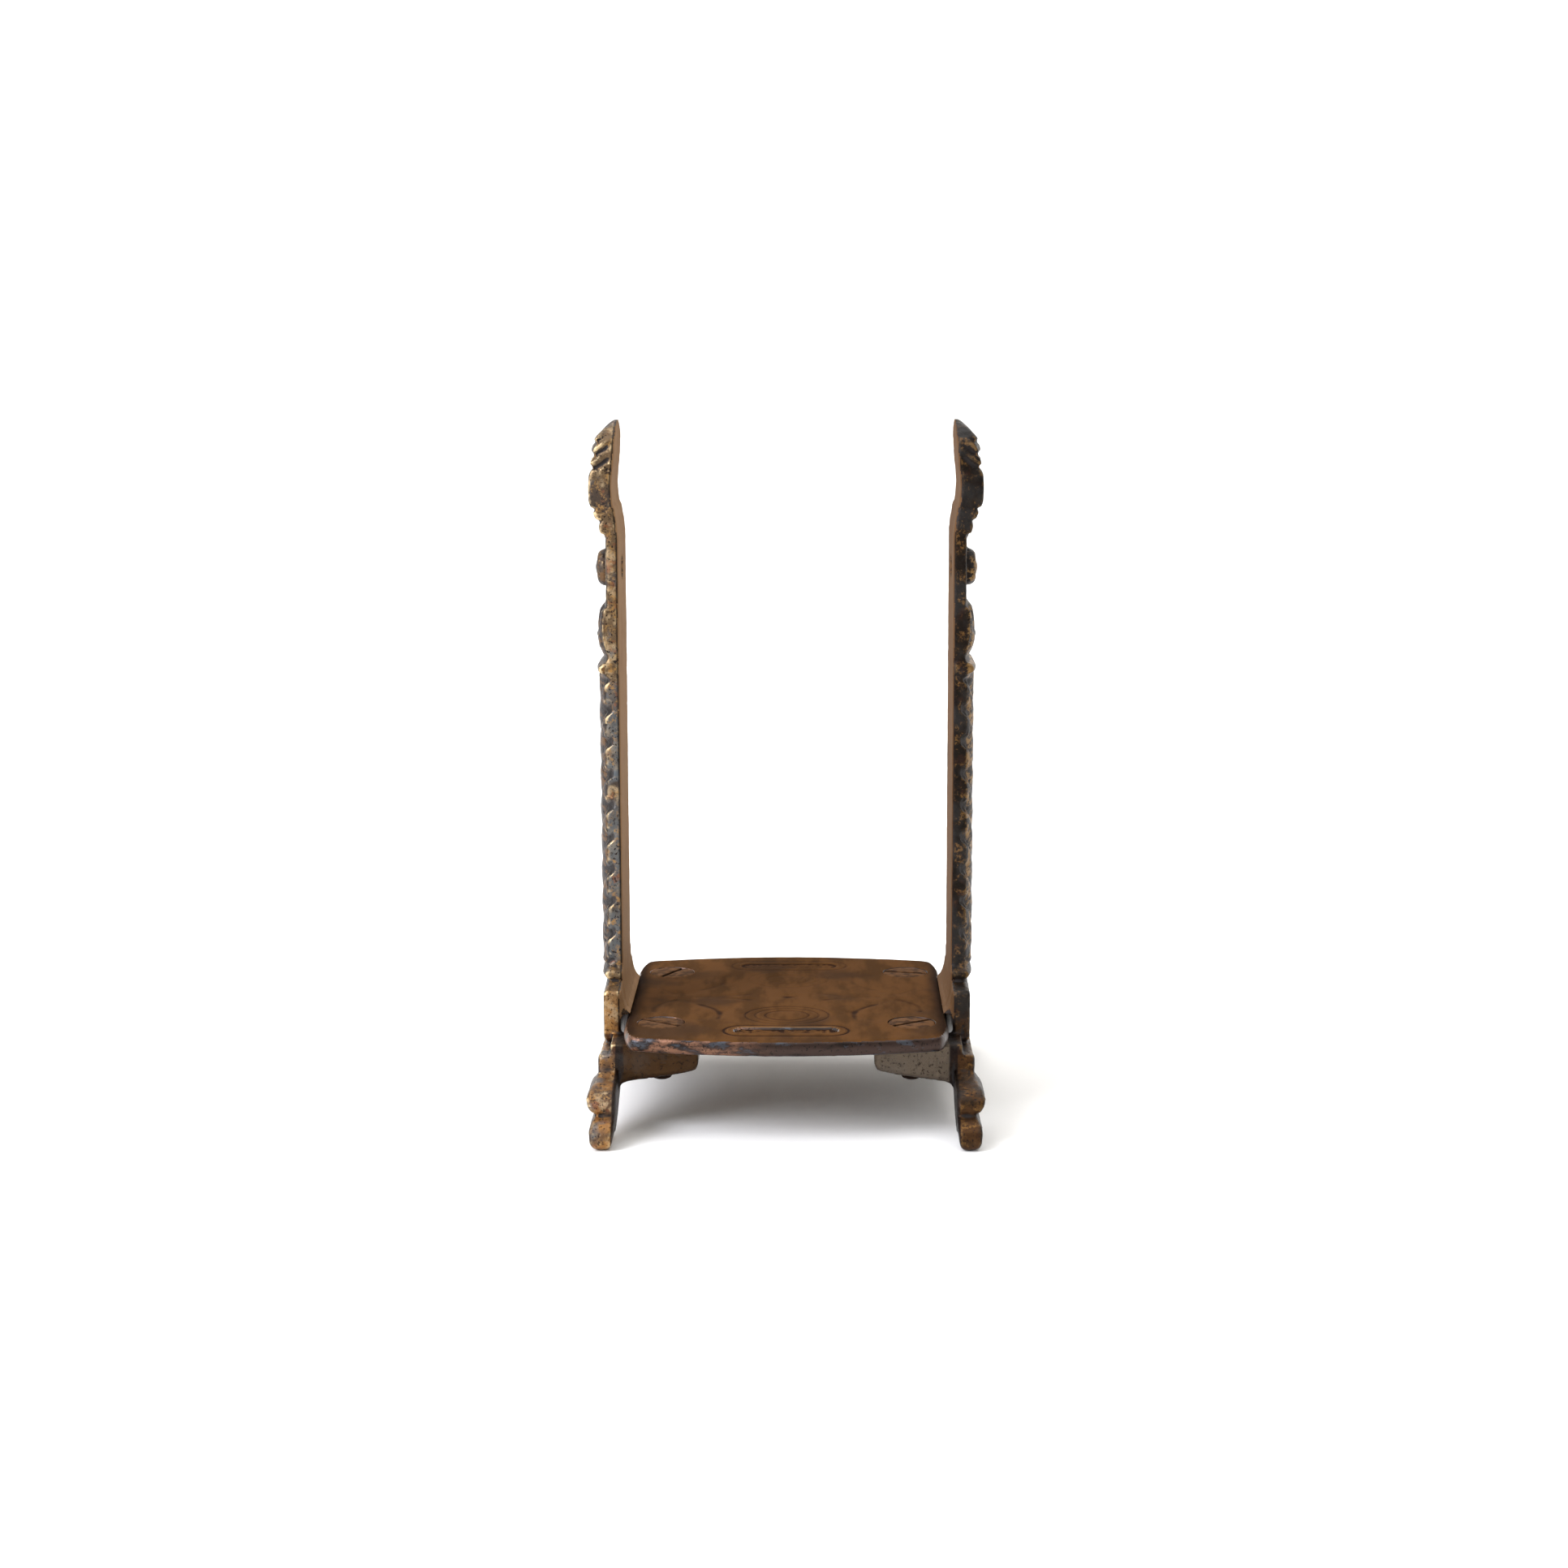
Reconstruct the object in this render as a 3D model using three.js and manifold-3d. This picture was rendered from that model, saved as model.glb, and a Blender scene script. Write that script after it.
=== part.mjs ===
// A cast brass stand for a photograph album. Two mirror-image side castings carry a shelf plate,
// which rests on their lugs. Four countersunk screws go down through the plate into the lugs.
// X runs across the album bay, Y runs front to back with the front at -Y, and Z is up.
// The origin is on the table, under the middle of the shelf.
import * as THREE from 'three';
import { mergeVertices } from 'three/addons/utils/BufferGeometryUtils.js';
import Module from 'manifold-3d';

const wasm = await Module();
wasm.setup();

// Driving dimensions, in millimetres.
const HEIGHT = 165;              // table to the tip of the crest
const BAY_HALF = 39.3;           // middle of the stand to the inner face of an upright
const COLUMN_HALF = 13.3;        // half the front-to-back width of a column
const PLINTH_HALF = 21;          // half the front-to-back width of a plinth
const FOOT_REACH = 50;           // middle of the stand to the end of a toe
const FOOT_HEEL = 42.5;          // middle of the stand to the inner end of a toe's flat underside
const ARCH_TOP = 12.6;           // height of the arch between two feet
const APRON_THICK = 4.7;         // thickness of the apron, across the bay
const APRON_TOP = 17.8;
const FOOT_BLOCK = 31.3;         // middle of the stand to the front of the block above a knuckle
const ROPE_BOTTOM = 35.6;
const ROPE_TOP = 105.4;
const ROPE_PITCH = 7.7;          // height from one twisted rib to the next
const ROPE_LEAN = 1;             // rise of a rib for each millimetre towards the front
const ROPE_START = 99;           // height at which one groove breaks through the front edge
const ROPE_GROOVE = 1.6;         // depth of the grooves between ribs
const BOSS = { z: 130, radius: 4.4, face: 6.4, hollow: 3.0, hollowDepth: 2.0 };

const SHELF = {
  halfWidth: 38.3, halfDepth: 39.6, bow: 4.7, cornerAcross: 3.2, cornerAlong: 14, bottom: 20.9, top: 24.6,
};
const CARTOUCHE = { y: 33.2, length: 25, width: 5.6, depth: 0.5 };
const COVE = { reach: 2, bottom: 24.9, top: 33 };   // fillet from an upright's inner face to the shelf

const LUG = {
  innerEnd: 20.7, front: 31.5, back: 20, top: 20.6, rootBottom: 11.3, tipBottom: 13.9, tipRound: 1.8,
};
const SCREW = {
  x: 29.6, y: 25.8, headRadius: 5.6, shankRadius: 2.7, top: 24.5, bottom: 11,
  edge: 0.3, chamfer: 0.6, slotWidth: 1.1, slotDepth: 1.2,
};
const SLOT_TURNS = { front_left: -35, back_left: 62, front_right: 35, back_right: -12 };
const CLEARANCE = 0.3;           // gap that touching pieces keep

// Mouldings of an upright from the plinth to the crest: height, inner face, outer face at the
// front edge, outer face at mid-width, and half-width. Faces are measured out from the bay.
const BELOW_ROPE = [
  [17.2, 0.3, 3.7, 3.8, 20.2],
  [18.6, 0.3, 3.7, 3.8, 20.2],
  [19.2, 0.2, 4.3, 4.4, PLINTH_HALF],
  [30.0, 0.2, 4.3, 4.4, PLINTH_HALF],
  [30.8, 0.2, 4.0, 4.3, 20.4],
  [31.3, 0.1, 3.6, 4.2, 18.0],
  [31.9, 0.0, 3.2, 4.4, 15.6],
  [32.8, 0.0, 3.9, 5.0, 15.5],
  [33.6, 0.0, 4.2, 5.3, 15.6],
  [34.4, 0.0, 3.9, 5.0, 15.3],
  [34.9, 0.0, 3.2, 4.6, 14.0],
];
const ABOVE_ROPE = [
  [105.8, 0.0, 4.1, 5.2, 13.8],
  [106.6, 0.0, 4.8, 5.7, 14.0],
  [107.6, 0.0, 4.7, 5.6, 14.0],
  [109.0, 0.0, 2.9, 3.9, COLUMN_HALF],
  [110.4, 0.0, 3.4, 4.8, 13.5],
  [114.8, 0.0, 4.4, 5.8, 13.9],
  [118.6, 0.0, 4.2, 5.4, 13.8],
  [121.6, 0.0, 3.4, 4.5, 13.5],
  [122.9, 0.0, 3.1, 3.5, COLUMN_HALF],
  [138.2, 0.0, 3.1, 3.4, COLUMN_HALF],
  [138.8, 0.1, 4.0, 4.4, 13.3],
  [141.4, 0.3, 4.3, 4.7, 13.2],
  [142.0, 0.4, 4.9, 5.4, 12.9],
  [144.4, 0.8, 5.8, 6.2, 12.6],
  [145.0, 1.1, 6.2, 6.6, 12.3],
  [149.8, 1.6, 6.9, 7.3, 12.1],
  [153.2, 1.3, 6.6, 7.0, 11.9],
  [154.2, 1.2, 5.4, 5.8, 11.6],
  [155.4, 1.1, 6.4, 6.8, 11.6],
  [157.2, 0.9, 5.6, 5.9, 11.5],
  [158.4, 0.9, 6.2, 6.5, 11.4],
  [160.0, 0.8, 5.4, 5.7, 11.1],
  [161.0, 0.7, 5.4, 5.6, 10.6],
  [163.2, 0.6, 3.4, 3.7, 7.6],
  [164.6, 0.6, 1.8, 2.1, 4.2],
  [HEIGHT, 0.6, 1.2, 1.3, 2.4],
];
const ROPE_MOULDING = { inner: 0, edge: 3.3, middle: 5.5 };
const SWELL_POWER = 4;           // how flat the outer face stays before it falls to its edges

// A foot from the table up: height, inner face, outer face, reach of its front, reach of its back.
const FOOT = [
  [0.0, 1.4, 4.4, 48.4, 43.2],
  [0.8, 0.9, 5.3, 49.6, 42.2],
  [2.0, 0.6, 5.8, FOOT_REACH, 40.5],
  [4.2, 0.4, 5.9, 49.6, 37.0],
  [5.6, 0.3, 5.5, 48.2, 34.0],
  [6.5, 0.3, 5.0, 46.2, 32.0],
  [7.0, 0.2, 4.8, 45.0, 31.0],
  [7.6, 0.2, 5.3, 44.8, 30.0],
  [9.0, 0.2, 6.3, 44.9, 29.0],
  [10.6, 0.2, 6.7, 44.0, 28.5],
  [12.0, 0.2, 6.2, 42.0, 28.5],
  [13.2, 0.2, 5.2, 37.6, 28.5],
  [13.8, 0.2, 4.8, 33.4, 28.5],
  [16.5, 0.2, 4.8, 32.0, 28.5],
  [APRON_TOP, 0.2, 4.6, 31.8, 28.5],
  [18.2, 0.4, 4.2, FOOT_BLOCK, 28.7],
];
const ROPE_RINGS = 54;
const CROWN_STEPS = 16;          // steps across the outer face of one ring

const BRASS = { color: 0x5a4630, roughness: 0.42, metalness: 1.0 };
const SHELF_BRASS = { color: 0x6b5236, roughness: 0.4, metalness: 1.0 };
const SCREW_STEEL = { color: 0x2b2723, roughness: 0.5, metalness: 1.0 };

// --- solids ---------------------------------------------------------------

function solid(geometry) {
  const plain = geometry.clone();
  plain.deleteAttribute('normal');
  plain.deleteAttribute('uv');
  const merged = mergeVertices(plain, 1e-4);
  const vertProperties = new Float32Array(merged.attributes.position.array);
  const triVerts = new Uint32Array(merged.index.array);
  return new wasm.Manifold(new wasm.Mesh({ numProp: 3, vertProperties, triVerts }));
}

function geometryOf(manifold) {
  const mesh = manifold.getMesh();
  const geometry = new THREE.BufferGeometry();
  geometry.setAttribute('position', new THREE.BufferAttribute(new Float32Array(mesh.vertProperties), 3));
  geometry.setIndex(new THREE.BufferAttribute(new Uint32Array(mesh.triVerts), 1));
  geometry.computeVertexNormals();
  return geometry;
}

function join(pieces) {
  return pieces.reduce((whole, piece) => whole.add(piece));
}

// Rings of equal length, lowest first and each anticlockwise from above, become one closed body.
function loft(rings) {
  const count = rings[0].length;
  const positions = rings.flat(2);
  const index = [];
  for (let ring = 0; ring + 1 < rings.length; ring += 1) {
    for (let side = 0; side < count; side += 1) {
      const next = (side + 1) % count;
      const [a, b] = [ring * count + side, ring * count + next];
      index.push(a, b, b + count, a, b + count, a + count);
    }
  }
  const flat = (ring) => rings[ring].map(([x, y]) => new THREE.Vector2(x, y));
  const top = (rings.length - 1) * count;
  for (const [a, b, c] of THREE.ShapeUtils.triangulateShape(flat(0), [])) {
    index.push(a, c, b);
  }
  for (const [a, b, c] of THREE.ShapeUtils.triangulateShape(flat(rings.length - 1), [])) {
    index.push(top + a, top + b, top + c);
  }
  const geometry = new THREE.BufferGeometry();
  geometry.setAttribute('position', new THREE.Float32BufferAttribute(positions, 3));
  geometry.setIndex(index);
  return geometry;
}

// An outline in Y and Z, given thickness along X from x0 to x1.
function slabAlongX(outline, x0, x1) {
  const shape = new THREE.Shape(outline.map(([y, z]) => new THREE.Vector2(y, z)));
  const options = { depth: x1 - x0, bevelEnabled: false, curveSegments: 8 };
  const geometry = new THREE.ExtrudeGeometry(shape, options);
  geometry.applyMatrix4(new THREE.Matrix4().set(0, 0, 1, x0, 1, 0, 0, 0, 0, 1, 0, 0, 0, 0, 0, 1));
  return solid(geometry);
}

function cylinderAlongZ(radius, bottom, top, x, y, segments = 24) {
  const geometry = new THREE.CylinderGeometry(radius, radius, top - bottom, segments);
  geometry.rotateX(Math.PI / 2);
  geometry.translate(x, y, (bottom + top) / 2);
  return solid(geometry);
}

// A profile of [radius, height] points turned about an axis along X at (y, z).
function turnedAlongX(profile, y, z, segments = 20) {
  const points = profile.map(([radius, height]) => new THREE.Vector2(radius, height));
  const geometry = new THREE.LatheGeometry(points, segments);
  geometry.rotateZ(-Math.PI / 2);
  geometry.translate(0, y, z);
  return solid(geometry);
}

// --- side casting, made for the right side with its inner face at x = 0 ----

// One level of an upright: a flat inner face and an outer face that swells towards mid-width.
// Grooves cut into the outer face and break through both edges.
function level(z, inner, edge, middle, half, groove) {
  const round = Math.min(0.5, (edge - inner) / 3, half / 3);
  const ring = [[inner, half - round, z], [inner, round - half, z]];
  ring.push([inner + round, -half, z], [edge - round - groove(-half, z), -half, z]);
  for (let step = 0; step <= CROWN_STEPS; step += 1) {
    const y = (round - half) * (1 - (2 * step) / CROWN_STEPS);
    const swell = (middle - edge) * (1 - (y / half) ** SWELL_POWER);
    ring.push([edge + swell - groove(y, z), y, z]);
  }
  ring.push([edge - round - groove(half, z), half, z], [inner + round, half, z]);
  return ring;
}

// Depth of the twisted grooves: round ribs that meet in narrow valleys.
function ropeGroove(y, z) {
  const phase = (z - ROPE_START + ROPE_LEAN * (y + COLUMN_HALF)) / ROPE_PITCH;
  return ROPE_GROOVE * (1 - Math.abs(Math.sin(Math.PI * phase)));
}

function upright() {
  const smooth = () => 0;
  const { inner, edge, middle } = ROPE_MOULDING;
  const rings = BELOW_ROPE.map((row) => level(...row, smooth));
  for (let ring = 0; ring <= ROPE_RINGS; ring += 1) {
    const z = ROPE_BOTTOM + ((ROPE_TOP - ROPE_BOTTOM) * ring) / ROPE_RINGS;
    rings.push(level(z, inner, edge, middle, COLUMN_HALF, ropeGroove));
  }
  for (const row of ABOVE_ROPE) {
    rings.push(level(...row, smooth));
  }
  return solid(loft(rings));
}

// The round boss on the neck, with a hollow behind it.
function boss() {
  const { radius, face } = BOSS;
  const profile = [[0, 1], [radius, 1], [radius, face - 1.4], [radius * 0.72, face - 0.4], [0, face]];
  return turnedAlongX(profile, 0, BOSS.z);
}

function bossHollow() {
  const { hollow, hollowDepth } = BOSS;
  const profile = [[0, -1], [hollow, -1], [hollow, 0.2], [hollow * 0.6, hollowDepth * 0.8], [0, hollowDepth]];
  return turnedAlongX(profile, 0, BOSS.z, 16);
}

// Half of the apron under the plinth: an arch below, and a flat top that ends over the foot.
function apronOutline() {
  const shape = new THREE.Shape();
  shape.moveTo(-1, APRON_TOP);
  shape.lineTo(-1, ARCH_TOP);
  shape.lineTo(0, ARCH_TOP);
  shape.bezierCurveTo(9, ARCH_TOP, 18, 9.8, 27, 6.2);
  shape.bezierCurveTo(31, 4.6, 35, 2.6, FOOT_HEEL - 2, 2.2);
  shape.lineTo(44, 4);
  shape.lineTo(43, 8);
  shape.lineTo(40, 12);
  shape.lineTo(FOOT_BLOCK - 0.5, 13.4);
  shape.lineTo(FOOT_BLOCK - 0.8, APRON_TOP);
  return shape.getPoints(5).map((point) => [point.x, point.y]);
}

// A block above a bulging knuckle, a groove, and a toe that tapers to the table.
function foot() {
  const rings = FOOT.map(([z, inner, outer, front, back]) => {
    const round = Math.min(0.9, (outer - inner) / 4);
    return [
      [inner, back + round, z], [inner + round, back, z],
      [outer - round, back, z], [outer, back + round, z],
      [outer, front - round, z], [outer - round, front, z],
      [inner + round, front, z], [inner, front - round, z],
    ];
  });
  return solid(loft(rings));
}

// A lug points into the bay, under the shelf plate, and its underside rises towards its end.
function lug() {
  const reach = LUG.innerEnd - BAY_HALF;
  const shape = new THREE.Shape();
  shape.moveTo(2, LUG.top);
  shape.lineTo(2, LUG.rootBottom - 1.6);
  shape.lineTo(0, LUG.rootBottom - 1.4);
  shape.quadraticCurveTo(-0.6, LUG.rootBottom, -2, LUG.rootBottom + 0.2);
  shape.lineTo(reach + LUG.tipRound, LUG.tipBottom);
  shape.quadraticCurveTo(reach, LUG.tipBottom + 0.2, reach, LUG.tipBottom + LUG.tipRound);
  shape.lineTo(reach, LUG.top);
  const options = { depth: LUG.front - LUG.back, bevelEnabled: false, curveSegments: 5 };
  const geometry = new THREE.ExtrudeGeometry(shape, options);
  geometry.applyMatrix4(new THREE.Matrix4().set(1, 0, 0, 0, 0, 0, -1, LUG.front, 0, 1, 0, 0, 0, 0, 0, 1));
  const hole = cylinderAlongZ(SCREW.shankRadius + CLEARANCE, 0, 30, SCREW.x - BAY_HALF, SCREW.y, 20);
  return solid(geometry).subtract(hole);
}

// The inner face sweeps in to meet the shelf plate.
function cove() {
  const { reach, bottom, top } = COVE;
  const shape = new THREE.Shape();
  shape.moveTo(1, bottom);
  shape.lineTo(1, top);
  shape.lineTo(0, top);
  shape.quadraticCurveTo(-0.3, bottom + 2, -reach, bottom + 0.4);
  shape.lineTo(-reach, bottom);
  const options = { depth: 2 * (PLINTH_HALF - 0.5), bevelEnabled: false, curveSegments: 6 };
  const geometry = new THREE.ExtrudeGeometry(shape, options);
  geometry.applyMatrix4(
    new THREE.Matrix4().set(1, 0, 0, 0, 0, 0, -1, PLINTH_HALF - 0.5, 0, 1, 0, 0, 0, 0, 0, 1),
  );
  return solid(geometry).intersect(slabAlongX(shoulderOutline(), -reach - 1, 2));
}

// The outline of the plinth and its shoulders, which the cove keeps inside.
function shoulderOutline() {
  const rising = BELOW_ROPE.map(([z, , , , half]) => [half - 0.4, z - 0.4]);
  rising.push([COLUMN_HALF, COVE.top + 1]);
  return [...rising, ...rising.map(([y, z]) => [-y, z]).reverse()];
}

// Geometry and its reflection in the plane y = 0.
function withBackCopy(piece) {
  return piece.add(piece.mirror([0, 1, 0]));
}

function sideCasting() {
  const apron = slabAlongX(apronOutline(), 0.2, APRON_THICK);
  const front = withBackCopy(join([apron, foot(), lug()]));
  return join([upright(), boss(), cove(), front]).subtract(bossHollow());
}

// --- shelf plate ----------------------------------------------------------

// The plan of the shelf plate: straight sides, rounded corners and ends that bow outwards.
function shelfRing(inset, z) {
  const half = SHELF.halfWidth - inset;
  const depth = SHELF.halfDepth - inset;
  const points = [];
  const quarter = [];
  for (let step = 0; step <= 5; step += 1) {
    const angle = (Math.PI / 2) * (step / 5) * 0.86;
    const [across, along] = [SHELF.cornerAcross - inset, SHELF.cornerAlong - inset];
    quarter.push([half - across * (1 - Math.cos(angle)), depth - along * (1 - Math.sin(angle))]);
  }
  const [startX] = quarter[quarter.length - 1];
  for (let step = 1; step <= 5; step += 1) {
    const x = startX * (1 - step / 5);
    quarter.push([x, depth + SHELF.bow * (1 - (x / startX) ** 2)]);
  }
  points.push(...quarter);
  points.push(...quarter.slice(0, -1).reverse().map(([x, y]) => [-x, y]));
  points.push(...quarter.map(([x, y]) => [-x, -y]));
  points.push(...quarter.slice(0, -1).reverse().map(([x, y]) => [x, -y]));
  return points.map(([x, y]) => [x, y, z]);
}

function stadium(length, width, y, z0, z1) {
  const r = width / 2;
  const straight = length / 2 - r;
  const shape = new THREE.Shape();
  shape.absarc(straight, y, r, -Math.PI / 2, Math.PI / 2, false);
  shape.absarc(-straight, y, r, Math.PI / 2, (3 * Math.PI) / 2, false);
  const options = { depth: z1 - z0, bevelEnabled: false, curveSegments: 8 };
  const geometry = new THREE.ExtrudeGeometry(shape, options);
  geometry.translate(0, 0, z0);
  return solid(geometry);
}

function shelfPlate() {
  const { bottom, top } = SHELF;
  const widest = (bottom + top) / 2 - 0.2;
  const rim = [[1.6, bottom], [0.5, bottom + 0.5], [0, widest], [0.4, top - 0.8], [1.7, top]];
  let plate = solid(loft(rim.map(([inset, z]) => shelfRing(inset, z))));
  for (const end of [-1, 1]) {
    const { length, width, depth } = CARTOUCHE;
    plate = plate.subtract(stadium(length, width, end * CARTOUCHE.y, top - depth, top + 2));
    for (const side of [-1, 1]) {
      const seat = turnedScrew(CLEARANCE, 8, 0.5).translate([side * SCREW.x, end * SCREW.y, 0]);
      plate = plate.subtract(seat);
    }
  }
  return plate;
}

// --- screw ----------------------------------------------------------------

// A countersunk screw's outline, grown by a clearance and made longer at each end.
function turnedScrew(grow, below, above) {
  const { headRadius, shankRadius, top, bottom, edge, chamfer } = SCREW;
  const neck = top - edge - (headRadius - shankRadius);
  const profile = [
    [0, bottom - below], [shankRadius - chamfer + grow, bottom - below],
    [shankRadius + grow, bottom + chamfer - below], [shankRadius + grow, neck],
    [headRadius + grow, top - edge], [headRadius + grow, top + above], [0, top + above],
  ];
  const points = profile.map(([radius, height]) => new THREE.Vector2(radius, height));
  const geometry = new THREE.LatheGeometry(points, 24);
  geometry.rotateX(Math.PI / 2);
  return solid(geometry);
}

function screw() {
  const slot = new THREE.BoxGeometry(3 * SCREW.headRadius, SCREW.slotWidth, 2 * SCREW.slotDepth);
  slot.translate(0, 0, SCREW.top);
  return turnedScrew(0, 0, 0).subtract(solid(slot));
}

// --- assembly -------------------------------------------------------------

function mesh(name, manifold, finish) {
  const piece = new THREE.Mesh(geometryOf(manifold), new THREE.MeshStandardMaterial(finish));
  piece.name = name;
  return piece;
}

const stand = new THREE.Group();

const casting = sideCasting();
const right = mesh('side_casting_right', casting, BRASS);
right.position.x = BAY_HALF;
stand.add(right);
const left = mesh('side_casting_left', casting.mirror([1, 0, 0]), BRASS);
left.position.x = -BAY_HALF;
stand.add(left);

stand.add(mesh('shelf_plate', shelfPlate(), SHELF_BRASS));

const screwSolid = screw();
for (const [sideName, side] of [['left', -1], ['right', 1]]) {
  for (const [endName, end] of [['front', -1], ['back', 1]]) {
    const piece = mesh(`screw_${endName}_${sideName}`, screwSolid, SCREW_STEEL);
    piece.position.set(side * SCREW.x, end * SCREW.y, 0);
    piece.rotation.z = THREE.MathUtils.degToRad(SLOT_TURNS[`${endName}_${sideName}`]);
    stand.add(piece);
  }
}

export default stand;
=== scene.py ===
# %% [markdown]
# # A cast brass album stand
# Two mirror-image side castings hold a shelf plate between them. Four countersunk screws
# go down through the plate into lugs on the castings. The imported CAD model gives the
# stand's size and places. This script makes the same seven pieces again with their cast
# relief, their worn and tarnished surfaces, and a small studio around them.

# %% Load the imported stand
import math

import bpy
import numpy as np
from mathutils import Matrix, Vector


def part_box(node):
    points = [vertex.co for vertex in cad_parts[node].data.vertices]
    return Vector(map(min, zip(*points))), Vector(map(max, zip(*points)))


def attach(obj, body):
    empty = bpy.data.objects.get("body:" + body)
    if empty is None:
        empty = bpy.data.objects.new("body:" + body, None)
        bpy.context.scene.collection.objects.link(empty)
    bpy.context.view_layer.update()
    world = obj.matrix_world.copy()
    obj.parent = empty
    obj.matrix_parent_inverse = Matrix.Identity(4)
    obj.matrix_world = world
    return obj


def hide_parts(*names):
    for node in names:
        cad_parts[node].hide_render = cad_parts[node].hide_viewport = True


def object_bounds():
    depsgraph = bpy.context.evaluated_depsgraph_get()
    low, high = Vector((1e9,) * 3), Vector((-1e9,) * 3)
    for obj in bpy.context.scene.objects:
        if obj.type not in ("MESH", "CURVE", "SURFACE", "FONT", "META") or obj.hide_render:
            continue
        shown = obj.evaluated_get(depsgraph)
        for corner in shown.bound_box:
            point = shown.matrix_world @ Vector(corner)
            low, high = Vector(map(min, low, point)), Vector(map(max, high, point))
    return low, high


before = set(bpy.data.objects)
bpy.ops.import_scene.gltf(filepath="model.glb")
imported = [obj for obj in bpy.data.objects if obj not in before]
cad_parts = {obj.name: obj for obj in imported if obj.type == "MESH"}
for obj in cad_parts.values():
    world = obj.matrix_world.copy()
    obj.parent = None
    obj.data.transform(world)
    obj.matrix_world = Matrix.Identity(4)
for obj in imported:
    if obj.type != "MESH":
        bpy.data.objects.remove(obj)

MM = 0.001
cad_low, cad_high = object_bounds()
height = cad_high.z / MM
print("stand", [round(v / MM, 1) for v in cad_high - cad_low], "mm")

# %% [markdown]
# ## Where things are
# A casting is made once, for the right side. Its own coordinates are the distance out from
# the face that the album leans on, then front to back, then height, all in millimetres.
# The widest moulding reaches 7.3 mm out from that face, which gives the face's place.
# Typing every place in again would also work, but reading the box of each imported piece
# keeps the finished pieces on the CAD ones when a size changes.

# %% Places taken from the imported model
CREST_REACH = 7.3
bay_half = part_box("side_casting_right")[1].x / MM - CREST_REACH
foot_reach = cad_high.y / MM
plate_low, plate_high = (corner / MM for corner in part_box("shelf_plate"))
screw_low, screw_high = (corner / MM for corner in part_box("screw_front_right"))
screw_x = (screw_low.x + screw_high.x) / 2
screw_y = -(screw_low.y + screw_high.y) / 2
head_radius = (screw_high.x - screw_low.x) / 2
print("bay", round(2 * bay_half, 1), "mm wide, screws at", round(screw_x, 1), round(screw_y, 1))

# %% [markdown]
# ## Working with meshes as arrays
# Blender's brushes could carve this relief by hand, but a script can't repeat a hand.
# Arithmetic on all the points at once gives the same casting on each run. These helpers
# build closed bodies from rings, read and write a mesh's points as one array, and run a
# modifier and keep its result.

# %% Closed bodies and their meshes
def lofted(rings):
    """One closed body through rings that all have the same number of points."""
    count = len(rings[0])
    points = [tuple(p) for ring in rings for p in ring]
    faces = [list(range(count))[::-1], [(len(rings) - 1) * count + k for k in range(count)]]
    for level in range(len(rings) - 1):
        for side in range(count):
            a, b = level * count + side, level * count + (side + 1) % count
            faces.append([a, b, b + count, a + count])
    return points, faces


def slab(outline, low, high):
    """An outline in depth and height, made solid from low to high across the stand."""
    return lofted([[(x, y, z) for y, z in outline] for x in (low, high)])


def turned(profile, centre, axis, sides=48):
    """A profile of radius and distance along an axis, turned round that axis."""
    angles = np.linspace(0, 2 * math.pi, sides, endpoint=False)
    rings = []
    for radius, along in profile:
        round_part = [(radius * math.cos(a), radius * math.sin(a)) for a in angles]
        if axis == "x":
            rings.append([(along, centre[0] + p, centre[1] + q) for p, q in round_part])
        else:
            rings.append([(centre[0] + p, centre[1] + q, along) for p, q in round_part])
    return lofted(rings)


def mesh_of(name, bodies):
    """One mesh holding several closed bodies, in millimetres."""
    points, faces = [], []
    for body_points, body_faces in bodies:
        start = len(points)
        points += body_points
        faces += [[start + k for k in face] for face in body_faces]
    mesh = bpy.data.meshes.new(name)
    mesh.from_pydata(points, [], faces)
    mesh.update()
    return mesh


def mirrored_front_to_back(body):
    """The same body at the other end of the stand."""
    points, faces = body
    return [(x, -y, z) for x, y, z in points], [face[::-1] for face in faces]


print("a turned drum of 12 sides has", len(turned([(1, 0), (1, 1)], (0, 0), "z", 12)[1]), "faces")


# %% Points as arrays, and modifiers that are run at once
def points_of(mesh, what="co"):
    values = np.zeros(len(mesh.vertices) * 3, np.float32)
    source = mesh.vertices if what == "co" else mesh.vertex_normals
    source.foreach_get("co" if what == "co" else "vector", values)
    return values.reshape(-1, 3).astype(float)


def set_points(mesh, points):
    mesh.vertices.foreach_set("co", points.astype(np.float32).ravel())
    mesh.update()


def worked(mesh, kind, **settings):
    """The mesh after one modifier."""
    workpiece = bpy.data.objects.new("workpiece", mesh)
    bpy.context.collection.objects.link(workpiece)
    modifier = workpiece.modifiers.new(kind, kind)
    for setting, value in settings.items():
        setattr(modifier, setting, value)
    seen = workpiece.evaluated_get(bpy.context.evaluated_depsgraph_get())
    result = bpy.data.meshes.new_from_object(seen)
    bpy.data.objects.remove(workpiece)
    return result


def cut(mesh, bodies):
    """The mesh less these bodies."""
    cutter = bpy.data.objects.new("cutter", mesh_of("cutter", bodies))
    bpy.context.collection.objects.link(cutter)
    result = worked(mesh, "BOOLEAN", operation="DIFFERENCE", solver="EXACT", object=cutter)
    bpy.data.objects.remove(cutter)
    return result


# %% [markdown]
# ## Soft edges, uneven skin and the memory of wear
# Sand-cast metal has no knife edges and no flat planes. Averaging each point with its
# neighbours softens a mesh, and the same averaging tells where wear falls: a point
# that stands proud of its neighbours' average is an edge that hands rub bright, and one
# that lies below it is a hollow where tarnish and wax collect. Blender's own pointiness
# output is close to this, but only one of its renderers has it.

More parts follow.
